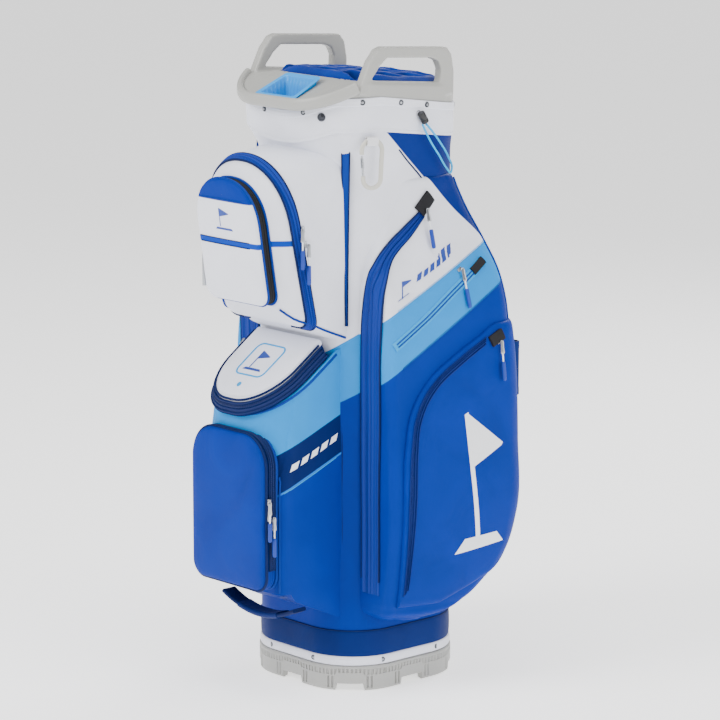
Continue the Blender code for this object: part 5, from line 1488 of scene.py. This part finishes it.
class GOLFBAG_OT_lid(bpy.types.Operator):
    """The padded cooler lid with its zip skirt, raised frame and mark"""
    bl_idname = "golf_bag.lid"
    bl_label = "Cooler lid"

    def execute(self, context):
        skirt = oblong(0.0812, -0.2382, LID_BACK, 0.070, 0.003)
        edge = oblong(0.0705, -0.2368, LID_BACK, 0.063, 0.003)
        panel = oblong(0.0670, -0.2335, LID_BACK - 0.0004, 0.060, 0.003)

        def lifted(plan, drop):
            return at_height(plan, lid_top(plan[:, 1]) - drop)

        rows = [lifted(drawn_in(skirt, 0.90), 0.0236), lifted(skirt, 0.0236)]
        for share in np.linspace(0.05, 1, 22):
            plan = skirt + (edge - skirt) * share ** 1.3
            rows.append(lifted(plan, 0.0236 + (0.0030 - 0.0236) * share))
        rows.append(lifted((edge + panel) / 2, 0.0010))
        base_ring = lifted(panel, 0.0003)
        rows += pillow(base_ring, (0, -0.57, 0.82), 0.0016 + settings().fullness * 0.7, count=22,
                       power=3.0)[:-1]
        rows = folded(np.stack(rows), 61, 0.0004, low=14, high=40, gap=4)
        lid = solid("cooler_lid_cloth", capped(list(rows)), look("lid_fabric"))
        put(lid, "cooler_lid_body", "white_fabric", "cooler_lid")

        def around(share, drop, low_cut=-0.128):
            plan = skirt + (edge - skirt) * share
            line = lifted(plan, drop)
            line = line[line[:, 1] < low_cut]
            return line[np.argsort(np.arctan2(line[:, 0], -(line[:, 1] + 0.10)))]

        line = around(0.45, 0.0135)
        places, facing = draped(lid, line[::6], 320)
        put(sweep("lid_zip_tape", places + facing * 0.0003, facing, zip_profile(0.0170, 0.0013),
                  look("navy_zip")),
            "cooler_lid_body", "navy_fabric")
        put(piping("lid_piping", lid, around(1.0, 0.0020)[::6], 0.0018, look("navy_piping"), 320),
            "cooler_lid_body", "navy_fabric")
        frame_plan = oblong(0.0290, -0.2040, -0.1530, 0.0095, 0.0095, 160)
        top = land(lid, at_height(frame_plan, 0.60), (0, 0, -1))[0]
        places, facing = draped(lid, top, 200, 0.0002, closed=True)
        put(sweep("lid_frame", places, facing, strip(0.0024, 0.0006, 0.0006, 10), look("sky_tape"),
                  closed=True),
            "cooler_lid_body", "sky_elastic")

        def cast(pairs, count=14):
            points = evenly(np.array([(x, y, 0.60) for x, y in pairs]), count)
            return land(lid, points, (0, 0, -1))[0]

        for k, (one, other) in enumerate((
                (((-0.0100, -0.1920), (-0.0100, -0.1640)), ((-0.0082, -0.1920), (-0.0082, -0.1640))),
                (((-0.0082, -0.1640), (0.0120, -0.1710)), ((-0.0082, -0.1770), (0.0110, -0.1722))),
                (((-0.0200, -0.1960), (0.0180, -0.1960)), ((-0.0160, -0.1925), (0.0140, -0.1925))))):
            put(patch("lid_mark_%d" % (k + 1), lid, ruled(cast(one), cast(other), 4), 0.0005,
                      look("navy_print")), "cooler_lid_body", "navy_fabric")
        dot = circle(0.0034, 24) + (0.0, -0.2190)
        spot = land(lid, at_height(dot, 0.60), (0, 0, -1))[0]
        rows = [spot, shrunk(spot, 0.94, (0, -0.0004, 0.0008)), shrunk(spot, 0.4, (0, -0.0005, 0.0010))]
        put(solid("lid_dot", capped(rows), look("sky_tape")), "cooler_lid_body", "sky_elastic")
        return {"FINISHED"}


def drawn_in(plan, share):
    middle = plan.mean(0)
    return middle + (plan - middle) * share


def ball_ring(inset, y):
    """Outline of the ball pocket: narrow round corners at its foot, wide ones at its top."""
    shape = oblong(0.079 - inset, 0.165 + inset, 0.389 - inset, 0.022 - inset / 2, 0.046 - inset / 2)
    return np.column_stack([shape[:, 0], np.full(len(shape), y), shape[:, 1]])


class GOLFBAG_OT_ball_pocket(bpy.types.Operator):
    """The ball pocket, its zip, and the face that folds down"""
    bl_idname = "golf_bag.ball_pocket"
    bl_label = "Ball pocket"

    def execute(self, context):
        depth = np.linspace(-0.2140, -0.2357, 34)
        off = np.abs(depth + 0.2255)
        swell = 0.0012 * np.exp(-((off - 0.0022) / 0.0014) ** 2) - 0.0010 * np.exp(-(off / 0.0006) ** 2)
        rows = [ball_ring(0.0016 - s, y) for s, y in zip(swell, depth)]
        gusset = solid("ball_pocket_gusset", capped([shrunk(rows[0], 0.9), *rows, shrunk(rows[-1], 0.9)]),
                       look("royal_fabric"), sharp=70)
        put(gusset, "bag", "royal_fabric", "ball_pocket")
        for name, y, radius, paint, body, inset in (
                ("rear", -0.2185, 0.0019, "royal_piping", "bag", 0.0004),
                ("front", -0.2368, 0.0022, "navy_piping", "ball_flap_body", 0.0004)):
            line = ball_ring(inset, y)
            out = line - line.mean(0)
            out /= np.linalg.norm(out, axis=1, keepdims=True)
            put(sweep("ball_piping_" + name, line, out, circle(radius, 10), look(paint), closed=True), body,
                "royal_fabric")
        ring = ball_ring(0.0006, -0.2262)
        ring = ring[ring[:, 2] > 0.196]
        path = evenly(ring[np.argsort(np.arctan2(-ring[:, 0], ring[:, 2] - 0.196))], 420)
        tangent = np.gradient(path, axis=0)
        out = np.cross(tangent, (0, 1.0, 0))
        out *= np.sign((out * (path - (0, -0.2262, 0.26))).sum(1))[:, None]
        put(sweep("ball_zip_tape", path, out, zip_profile(0.0125, 0.0008), look("navy_zip")), "bag",
            "royal_fabric")
        full = settings().fullness
        start = ball_ring(0.0012, -0.2362)
        rows = [shrunk(start, 0.93, (0, 0.0004, 0)), start, ball_ring(0.0012, -0.2388)]
        rows += pillow(ball_ring(0.0020, -0.2400), (0, -1, 0), 0.0020 + full, count=24, power=3.0)[:-1]
        rows = folded(np.stack(rows), 71, settings().fold * 0.8, low=8, high=28, gap=4)
        flap = solid("ball_pocket_face", capped(list(rows)), look("royal_fabric"))
        put(flap, "ball_flap_body", "royal_fabric", "ball_pocket_flap")
        return {"FINISHED"}


# ================================================================ side pockets
def side_skin(heights, grow, columns=150):
    """Rings of the right side pocket, root edges tucked into the tube."""
    t = np.linspace(0, 1, columns)
    rows = np.stack([side_ring(h, t, grow) for h in heights])
    back = np.linspace(1, 0, 14)[None, 1:-1, None]
    root = (rows[:, :1] * (1 - back) + rows[:, -1:] * back) * (0, 0.9, 1) + (0.058, 0, 0)
    return np.concatenate([rows, root], axis=1)


class GOLFBAG_OT_side_pockets(bpy.types.Operator):
    """The two long side pockets, their zips, welts, piping and marks"""
    bl_idname = "golf_bag.side_pockets"
    bl_label = "Side pockets"

    def execute(self, context):
        for side, word in ((1, "right"), (-1, "left")):
            self.one_side(side, word)
        return {"FINISHED"}

    def one_side(self, side, word):
        mirror = np.array([side, 1, 1])
        fold = settings().fold
        heights = np.concatenate([np.linspace(0.1085, 0.16, 26), np.linspace(0.164, 0.7295, 150)])
        skin = side_skin(heights, 0.0)
        keep = np.ones(skin.shape[1])
        keep[150:] = 0
        wrinkled = folded(skin, 81, fold * 1.5, low=7, high=30, gap=5)
        skin = skin + (wrinkled - skin) * keep[None, :, None]
        top = skin[-1]
        cap = [shrunk(top, s, (0, 0, z))
               for s, z in ((0.97, 0.0022), (0.88, 0.0045), (0.6, 0.0068), (0.3, 0.0075))]
        foot = [shrunk(skin[0], s, (0, 0, z)) for s, z in ((0.4, -0.0045), (0.75, -0.0035), (0.93, -0.0018))]
        grid = np.stack([*foot, *skin, *cap]) * mirror
        pocket = solid("side_pocket_cloth_" + word, capped(list(grid)), look("side_fabric"))
        put(pocket, "bag", "royal_fabric", "side_pocket_" + word)

        outer = np.array([(0.1241, 0.0118, 0.6889), (0.1245, -0.0212, 0.6682), (0.1264, -0.0553, 0.6456),
                          (0.1254, -0.0737, 0.6258), (0.1203, -0.0781, 0.6015), (0.1137, -0.0840, 0.5567),
                          (0.1108, -0.0850, 0.4900), (0.1108, -0.0850, 0.3000), (0.1108, -0.0850, 0.1480)])
        inner = np.array([(0.138, 0.0153, 0.683), (0.1350, -0.018, 0.6537), (0.1360, -0.0478, 0.631),
                          (0.1436, -0.069, 0.6035), (0.151, -0.0835, 0.5625), (0.1501, -0.085, 0.49),
                          (0.1480, -0.085, 0.342), (0.1470, -0.085, 0.1481)])
        a, b = through(outer, 260), through(inner, 260)
        put(zip_band("side_zip_band_" + word, pocket, a * mirror, b * mirror, look("side_zip")), "bag",
            "royal_fabric")
        for name, line in (("outer", a), ("inner", b)):
            put(piping("side_zip_piping_%s_%s" % (name, word), pocket, line[::10] * mirror, 0.0015,
                       look("navy_piping"), 360, sink=0.0), "bag", "navy_fabric")
        # the welted pocket on the sky band
        welt = np.array([(0.1657, -0.0748, 0.5082), (0.1795, -0.0298, 0.5393), (0.1750, 0.0221, 0.5718),
                         (0.172, 0.074, 0.6015), (0.1606, 0.094, 0.61)])
        places, facing = draped(pocket, welt * mirror, 260)
        put(sweep("band_welt_" + word, places + facing * 0.0002, facing, strip(0.0130, 0.0008, 0.0010),
                  look("sky_tape")), "bag", "sky_elastic")
        put(sweep("band_zip_tape_" + word, places[6:-14] + facing[6:-14] * 0.0011, facing[6:-14],
                  zip_profile(0.0064, 0.0006), look("royal_zip")), "bag", "royal_fabric")
        for k, rule in enumerate((SKY_SIDE, ROYAL_SIDE)):
            for off in (-0.0012, 0.0012):
                line = side_level_line(rule, np.linspace(0.33, 0.79, 40)) + (0, 0, off)
                put(piping("panel_seam_%s_%d_%d" % (word, k, off > 0), pocket, line * mirror, 0.00035,
                           look(("sky_tape", "royal_piping")[k]), 200), "bag", "royal_fabric")
        # the rear edge, piped twice down its whole height
        for k, t in enumerate((0.800, 0.842)):
            edge = np.array([side_ring(h, t) for h in np.linspace(0.155, 0.7250, 40)])
            put(piping("side_edge_piping_%s_%d" % (word, k), pocket, edge * mirror, (0.0019, 0.0014)[k],
                       look(("royal_piping", "navy_piping")[k]), 300), "bag", "royal_fabric")
        # slanted bars in place of a printed word, and a generic flag mark
        for k in range(6):
            y = -0.0300 + 0.0135 * k
            z = 0.6050 + 0.50 * (y + 0.0300)
            low = np.array([(0.18, y, z), (0.18, y + 0.0088, z + 0.0044)])
            high = low + (0, 0.0050, 0.0150 - 0.0012 * (k % 2))
            grid = ruled(evenly(low, 14), evenly(high, 14), 14) * mirror
            put(patch("side_bar_%s_%d" % (word, k + 1), pocket, grid, 0.0007, look("navy_print")), "bag",
                "royal_fabric")
        flag = ((((-0.0560, 0.576), (-0.0510, 0.604)), ((-0.0545, 0.576), (-0.0495, 0.604))),
                (((-0.0495, 0.604), (-0.0350, 0.604)), ((-0.0515, 0.594), (-0.0360, 0.602))),
                (((-0.0630, 0.573), (-0.0420, 0.583)), ((-0.0610, 0.575), (-0.0440, 0.583))))
        for k, (one, other) in enumerate(flag):
            rows = [evenly(np.array([(0.165, y, z) for y, z in pair]), 30) for pair in (one, other)]
            put(patch("side_mark_%s_%d" % (word, k + 1), pocket, ruled(*rows, 8) * mirror, 0.0008,
                      look("navy_print")), "bag", "royal_fabric")
        # black garages over the upper ends of the zips
        for name, spots in (("side", ((0.131, 0.0070, 0.6880), (0.131, 0.0300, 0.7090))),
                            ("band", ((0.170, 0.0720, 0.6000), (0.163, 0.0990, 0.6135)))):
            ends = np.array(spots)
            places, facing = draped(pocket, evenly(ends, 4) * mirror, 24)
            garage_width = 0.0200 if name == "side" else 0.0120
            put(sweep(name + "_garage_" + word, places + facing * 0.0012, facing,
                      strip(garage_width, 0.0026, 0.0008), look("black_cloth")), "bag", "black_tape")
        self.pouch(mirror, word)

    def pouch(self, mirror, word):
        """The raised lower pouch: in (t, height) its outline is a leaf under the climbing zip, and its
        face stands 8 mm off the pocket, rounded down at its border."""
        t_back = 0.835
        t_scale = 0.52
        front = np.array([(-0.0715, 0.133), (-0.0700, 0.2972), (-0.0640, 0.3694), (-0.0570, 0.4073),
                          (-0.0425, 0.4373), (-0.0184, 0.4636), (0.0231, 0.4895), (0.0741, 0.5136)])
        t_line = np.linspace(0.17, 0.80, 200)

        def t_of(y, z):
            ring = side_ring(z, t_line)
            return np.interp(y, ring[:, 1], t_line)

        line = through(front, 90)
        edge = [(t_of(y, z), z) for y, z in line]
        top = np.linspace(edge[-1][0], t_back, 14)[1:]
        seam_end = edge[89][0]
        edge += [(t, 0.5136 + 0.012 * math.sin(math.pi / 2 * min(1.0, (t - seam_end) / 0.06)))
                 for t in top]
        down = np.linspace(0.520, 0.200, 60)
        edge += [(t_back, z) for z in down]
        edge += [(t_back - 0.30 * s, 0.200 - 0.067 * s ** 0.7) for s in np.linspace(0.05, 1, 24)]
        flat = np.array(edge) * (t_scale, 1)
        flat = evenly(flat, 420, closed=True)
        heart = np.array([0.50 * t_scale, 0.300])
        rows = []
        full = 0.0080 + settings().fullness * 0.4
        for s in np.concatenate([[1.0, 1.0, 0.996, 0.990, 0.982, 0.972, 0.960, 0.945, 0.925, 0.90],
                                 np.linspace(0.87, 0.04, 34)]):
            ring = heart + (flat - heart) * s
            rows.append(ring)
        lifts = np.concatenate([[-0.0010, 0.0015], 0.0015 + (full - 0.0030) * np.sin(
            np.linspace(0.25, 1, 8) * math.pi / 2), full - 0.0012 + 0.0012 * np.linspace(0, 1, 34) ** 0.5])
        rings = []
        for ring, lift in zip(rows, lifts):
            t, z = ring[:, 0] / t_scale, ring[:, 1]
            at = side_ring(z, t)
            step_t, step_z = side_ring(z, t + 0.004) - at, side_ring(z + 0.002, t) - at
            out = np.cross(step_t, step_z)
            out /= np.linalg.norm(out, axis=1, keepdims=True)
            rings.append(at + out * lift)
        grid = folded(np.stack(rings), 91, settings().fold * 1.2, low=7, high=26, gap=8)
        pouch = solid("side_pouch_cloth_" + word, capped(list(grid * mirror)), look("royal_fabric"))
        put(pouch, "bag", "royal_fabric", "side_pouch_" + word)

        seam = np.array([(y, z) for y, z in through(front, 60)])
        outline = np.array([side_ring(z, t_of(y, z)) for y, z in seam])
        heart_point = np.array([0.2, 0.03, 0.30])
        inwards = heart_point - outline
        inwards /= np.linalg.norm(inwards, axis=1, keepdims=True)
        lanes = []
        for off in (0.0022, 0.0150):
            lane = outline + inwards * off
            lane[:, 0] += 0.012
            lanes.append(through(lane[2:] * mirror, 300))
        put(zip_band("pouch_zip_band_" + word, pouch, *lanes, look("pouch_zip")), "bag", "navy_fabric")
        ends = np.array([(0.215, 0.0800, 0.5035), (0.212, 0.1040, 0.5130)]) * mirror
        places, facing = draped(pouch, ends, 24)
        put(sweep("pouch_garage_" + word, places + facing * 0.0010, facing, strip(0.0165, 0.0030, 0.0008),
                  look("black_cloth")), "bag", "black_tape")
        # a large generic flag over a mound, printed white
        marks = (((0.0450, 0.2150), (0.0250, 0.4050), (0.0530, 0.2150), (0.0320, 0.4080)),
                 ((0.0325, 0.4050), (0.0960, 0.3560), (0.0400, 0.3280), (0.0930, 0.3520)),
                 ((0.0060, 0.2020), (0.0980, 0.2100), (0.0240, 0.2230), (0.0840, 0.2260)))
        for k, (a, b, c, d) in enumerate(marks):
            one = evenly(np.array([(0.22, *a), (0.22, *b)]), 40)
            other = evenly(np.array([(0.22, *c), (0.22, *d)]), 40)
            put(patch("pouch_mark_%s_%d" % (word, k + 1), pouch, ruled(one, other, 12) * mirror, 0.0004,
                      look("white_print")), "bag", "white_fabric")


class GOLFBAG_OT_sleeve(bpy.types.Operator):
    """The umbrella sleeve on the right side pocket"""
    bl_idname = "golf_bag.sleeve"
    bl_label = "Umbrella sleeve"

    def execute(self, context):
        outer = oblong(0.0150, 0.0, 0.0180, 0.002, 0.0085, 96) + (0.165, 0.1428)
        inner = oblong(0.0130, 0.0022, 0.0160, 0.001, 0.0068, 96) + (0.165, 0.1428)
        rows = []
        for z in np.linspace(0.412, 0.490, 20):
            hem = 0.0006 * (smooth_step(0.480, 0.482, z) + 1 - smooth_step(0.420, 0.422, z))
            rows.append(at_height(outer + (outer - outer.mean(0)) * hem * 40, z))
        rows += [at_height(inner, 0.4905), at_height(inner, 0.412)]
        sleeve = solid("umbrella_sleeve_cloth", np.stack(rows), look("navy_fabric"), along=True)
        put(sleeve, "bag", "navy_fabric", "umbrella_sleeve")
        return {"FINISHED"}


class GOLFBAG_OT_strap(bpy.types.Operator):
    """The padded shoulder strap at the back, its webbing and anchors"""
    bl_idname = "golf_bag.strap"
    bl_label = "Shoulder strap"

    def execute(self, context):
        near = TUBE_HALF + 0.0040
        share = np.linspace(0, 1, 60)
        rows = []
        for s in share:
            ends = max(0.35, min(1.0, 6 * min(s, 1 - s) + 0.35))
            half = 0.030 * (0.55 + 0.45 * min(1.0, 5 * min(s, 1 - s)))
            plan = oblong(half, 0.0003, 0.012 * ends, 0.0040 * ends, 0.0050 * ends, 96)
            quilt = 0.0011 * math.cos(2 * math.pi * s * 7) * ends
            plan = plan + np.column_stack([np.zeros(96), np.where(plan[:, 1] > 0.006 * ends, quilt, 0)])
            rows.append(at_height(plan + (0, near + 0.010 * math.sin(math.pi * s)), 0.300 + 0.340 * s))
        pad = solid("strap_pad_cloth", capped(rounded_ends(rows, 0.002)), look("navy_padding"))
        settle(pad, 0.005)
        put(pad, "bag", "navy_padding", "strap_pad")
        for name, low, high in (("low", 0.100, 0.2995), ("high", 0.6405, 0.760)):
            z = np.linspace(low, high, 24)
            bow = np.where(z > 0.5, 0.640, 0.300)
            path = np.column_stack([np.zeros(24), np.full(24, near + 0.0008) + 0.0012 * np.exp(
                -np.abs(z - bow) / 0.02), z])
            web = sweep("strap_web_" + name, path, np.array([0, 1.0, 0]), strip(0.038, 0.0019, 0.0, 16),
                        look("blue_webbing"))
            put(web, "bag", "blue_webbing", "strap_webbing_" + name)
        for name in ("low", "high"):
            anchor = refined("strap_anchor_" + name, "strap_anchor_patch_" + name, look("royal_fabric"),
                             bevel=0.0008)
            put(anchor, "bag", "royal_fabric", "strap_anchor_" + name)
        return {"FINISHED"}


def settle(piece, voxel):
    """Lets a stuffed cloth piece find its shape: an even skin, a light pressure, no gravity, the frames
    of the setting, and a cap on how far any point may go."""
    cloth = settings()
    remesh = piece.modifiers.new("skin", "REMESH")
    remesh.mode, remesh.voxel_size = "VOXEL", voxel
    even = bpy.data.meshes.new_from_object(piece.evaluated_get(bpy.context.evaluated_depsgraph_get()))
    piece.modifiers.clear()
    start = np.empty(len(even.vertices) * 3)
    even.vertices.foreach_get("co", start)
    twin = bpy.data.objects.new(piece.name + "_settling", even)
    bpy.context.scene.collection.objects.link(twin)
    sim = twin.modifiers.new("cloth", "CLOTH")
    sim.settings.use_pressure = True
    sim.settings.uniform_pressure_force = cloth.pressure
    sim.settings.effector_weights.gravity = 0
    sim.settings.tension_stiffness = sim.settings.compression_stiffness = 60
    sim.settings.bending_stiffness = 4
    scene = bpy.context.scene
    for frame_number in range(1, cloth.frames + 1):
        scene.frame_set(frame_number)
    moved = bpy.data.meshes.new_from_object(twin.evaluated_get(bpy.context.evaluated_depsgraph_get()))
    scene.frame_set(1)
    stop = np.empty(len(moved.vertices) * 3)
    moved.vertices.foreach_get("co", stop)
    bpy.data.objects.remove(twin)
    shift = (stop - start).reshape(-1, 3)
    size = np.linalg.norm(shift, axis=1, keepdims=True)
    shift *= np.minimum(1, SETTLE_CAP / np.maximum(size, 1e-9))
    moved.vertices.foreach_set("co", (start.reshape(-1, 3) + shift).reshape(-1))
    moved.materials.clear()
    moved.materials.append(piece.data.materials[0])
    moved.shade_smooth()
    piece.data = moved
    finer = piece.modifiers.new("finer", "SUBSURF")
    finer.levels = finer.render_levels = 1


class GOLFBAG_OT_grab_handle(bpy.types.Operator):
    """The webbing handle bowed under the lower module"""
    bl_idname = "golf_bag.grab_handle"
    bl_label = "Grab handle"

    def execute(self, context):
        share = np.linspace(-1, 1, 80)
        top = float(under(np.array(-0.164))) - 0.0004
        path = np.column_stack([share * 0.0778, np.full(80, -0.176), top - 0.019 * (1 - share**2) - 0.0030])
        handle = sweep("grab_handle_webbing", path, np.array([0, 0, 1.0]),
                       oblong(0.0125, -0.0028, 0.0028, 0.0022, 0.0022, 40), look("blue_webbing"))
        put(handle, "bag", "blue_webbing", "grab_handle")
        middle = np.abs(share) < 0.55
        grip = sweep("grab_handle_sleeve", path[middle], np.array([0, 0, 1.0]),
                     oblong(0.0135, -0.0042, 0.0042, 0.0036, 0.0036, 40), look("navy_padding"))
        put(grip, "bag", "blue_webbing")
        return {"FINISHED"}


# ================================================================ metal and moulded trim
class GOLFBAG_OT_clip(bpy.types.Operator):
    """The towel clip on its webbing tab, with its sprung wire gate"""
    bl_idname = "golf_bag.clip"
    bl_label = "Towel clip"

    def execute(self, context):
        place, turn = np.array([0.1262, -0.0815, 0.798]), math.radians(66)
        up, out = np.array([0, 0, 1.0]), np.array([math.sin(turn), -math.cos(turn), 0])
        across = np.cross(out, up)
        wire = 0.0032
        half, bottom = 0.018 - wire, -0.074 + 2 * wire
        gate_low, gate_high = bottom + 0.017, -0.020
        angle = np.linspace(0, math.pi, 40)
        top_arc = np.stack([half * np.cos(angle), -half + half * np.sin(angle)], axis=1)
        low_half = half * 0.86
        low_arc = np.stack([-low_half * np.cos(angle), bottom + low_half - low_half * np.sin(angle)], axis=1)
        flat = np.concatenate([[[half, gate_high + 0.0002]], top_arc, low_arc, [[low_half, gate_low]]])
        flat = evenly(flat, 220)
        path = place + flat[:, :1] * across + flat[:, 1:] * up
        body = sweep("clip_body", path, out, circle(wire, 20), look("ivory_plastic"))
        put(body, "carabiner", "ivory_plastic", "carabiner_body")
        ends = np.array([(half, gate_high - 0.0020), (low_half, gate_low + 0.0006)])
        line = evenly(ends, 60)
        path = place + line[:, :1] * across + line[:, 1:] * up
        gate = sweep("clip_gate", path, out, circle(wire * 0.45, 12), look("steel_wire"))
        put(gate, "carabiner_gate_body", "steel_wire", "carabiner_gate")
        turns = np.linspace(0, 2 * math.pi * 9, 300)
        run = np.linspace(0.12, 0.62, 300)
        middle = place + (ends[0] + (ends[1] - ends[0]) * run[:, None]) @ np.stack([across, up])
        coil = middle + 0.0022 * (np.cos(turns)[:, None] * across + np.sin(turns)[:, None] * out)
        side = np.cross(np.gradient(coil, axis=0), up)
        spring = sweep("clip_spring", coil, side, circle(0.0004, 6), look("steel_wire"))
        put(spring, "carabiner_gate_body", "steel_wire")
        angle = np.radians(np.linspace(115, 415, 60))
        loop = np.stack([0.0062 * np.cos(angle), -wire / 2 + 0.0062 * np.sin(angle)], axis=1)
        path = place + loop[:, :1] * out + loop[:, 1:] * up
        tab = sweep("clip_tab_webbing", path, np.cross(np.gradient(path, axis=0), across),
                    np.array([(-0.008, -0.0007), (0.008, -0.0007), (0.008, 0.0007), (-0.008, 0.0007)]),
                    look("white_webbing"))
        put(tab, "bag", "white_webbing", "clip_tab")
        return {"FINISHED"}


ZIP_BODIES = {"upper_zip_low_slider": "upper_zip_low", "ball_zip_low_slider": "ball_zip_low",
              "lid_zip_slider": "cooler_lid_body", "valuables_zip_slider": "upper_front_body"}


class GOLFBAG_OT_zip_pulls(bpy.types.Operator):
    """Cast zip sliders, their pull tabs, cords and rubber tubes"""
    bl_idname = "golf_bag.zip_pulls"
    bl_label = "Zip sliders and pulls"

    def execute(self, context):
        for node in sorted(NODES):
            if node.endswith("_slider"):
                cast = refined(node, node + "_cast", look("plated_zinc"), bevel=0.0006)
                put(cast, ZIP_BODIES.get(node, "bag"), "plated_zinc", node)
            if node.endswith("_pull"):
                self.pull(node)
        return {"FINISHED"}

    def pull(self, node):
        """Along the pull's line: a cast tab, a white cord, and a rubber tube at its end."""
        points = node_points(node)
        top = points[points[:, 2] > points[:, 2].max() - 0.001].mean(0)
        low = points[points[:, 2] < points[:, 2].min() + 0.001].mean(0)
        way = low - top
        size = np.linalg.norm(way)
        way /= size
        out = np.array([math.sin(math.radians(48)), -math.cos(math.radians(48)), 0])
        out -= way * (out @ way)
        out /= np.linalg.norm(out)
        side = np.cross(way, out)
        turn = np.linspace(0, 2 * math.pi, 33)[:-1]

        def rings(profile, flat=1.0):
            return [top + way * h
                    + (np.cos(turn)[:, None] * side * r + np.sin(turn)[:, None] * out * r * flat)
                    for h, r in profile]

        tab = solid(node + "_tab", capped(rings(
            ((-0.0020, 0.0010), (-0.0014, 0.0021), (0.0010, 0.0027), (0.0070, 0.0024), (0.0140, 0.0029),
             (0.0162, 0.0030), (0.0172, 0.0022)), 0.42)), look("plated_zinc"))
        cord = solid(node + "_cord", capped(rings(
            ((0.0150, 0.0010), (0.0160, 0.0012), (0.0230, 0.0012), (0.0310, 0.0012)))), look("white_print"))
        tube = solid(node + "_tube", capped(rings(
            ((0.0285, 0.0016), (0.0288, 0.0024), (0.0300, 0.0029), (0.0350, 0.0030), (size - 0.0040, 0.0030),
             (size - 0.0014, 0.0027), (size - 0.0003, 0.0018)))), look("blue_pull"))
        put(tab, node, "plated_zinc", node)
        put(cord, node, "blue_pull")
        put(tube, node, "blue_pull")


# ================================================================ the add-on
OPERATORS = (
    GOLFBAG_OT_stage, GOLFBAG_OT_cord, GOLFBAG_OT_base, GOLFBAG_OT_tube, GOLFBAG_OT_cuff, GOLFBAG_OT_collar,
    GOLFBAG_OT_dividers, GOLFBAG_OT_putter_well, GOLFBAG_OT_upper_pocket, GOLFBAG_OT_valuables,
    GOLFBAG_OT_cooler, GOLFBAG_OT_lid, GOLFBAG_OT_ball_pocket, GOLFBAG_OT_side_pockets, GOLFBAG_OT_sleeve,
    GOLFBAG_OT_strap, GOLFBAG_OT_grab_handle, GOLFBAG_OT_clip, GOLFBAG_OT_zip_pulls)


class GOLFBAG_PT_panel(bpy.types.Panel):
    """Lists the steps that build the bag, in order"""
    bl_idname = "GOLFBAG_PT_panel"
    bl_label = "Golf bag"
    bl_space_type = "VIEW_3D"
    bl_region_type = "UI"
    bl_category = "Golf bag"

    def draw(self, context):
        for group in (context.scene.golf_bag_cloth, context.scene.golf_bag_stage):
            for name in group.__annotations__:
                self.layout.prop(group, name)
        for operator in OPERATORS:
            self.layout.operator(operator.bl_idname)


CLASSES = (GolfBagCloth, GolfBagStage, *OPERATORS, GOLFBAG_PT_panel)


def register():
    for made in CLASSES:
        bpy.utils.register_class(made)
    bpy.types.Scene.golf_bag_cloth = bpy.props.PointerProperty(type=GolfBagCloth)
    bpy.types.Scene.golf_bag_stage = bpy.props.PointerProperty(type=GolfBagStage)


def unregister():
    del bpy.types.Scene.golf_bag_stage
    del bpy.types.Scene.golf_bag_cloth
    for made in reversed(CLASSES):
        bpy.utils.unregister_class(made)


def main():
    register()
    for operator in OPERATORS:
        group, name = operator.bl_idname.split(".")
        if getattr(getattr(bpy.ops, group), name)() != {"FINISHED"}:
            raise RuntimeError(operator.bl_label + " didn't finish")


if __name__ == "__main__":
    main()
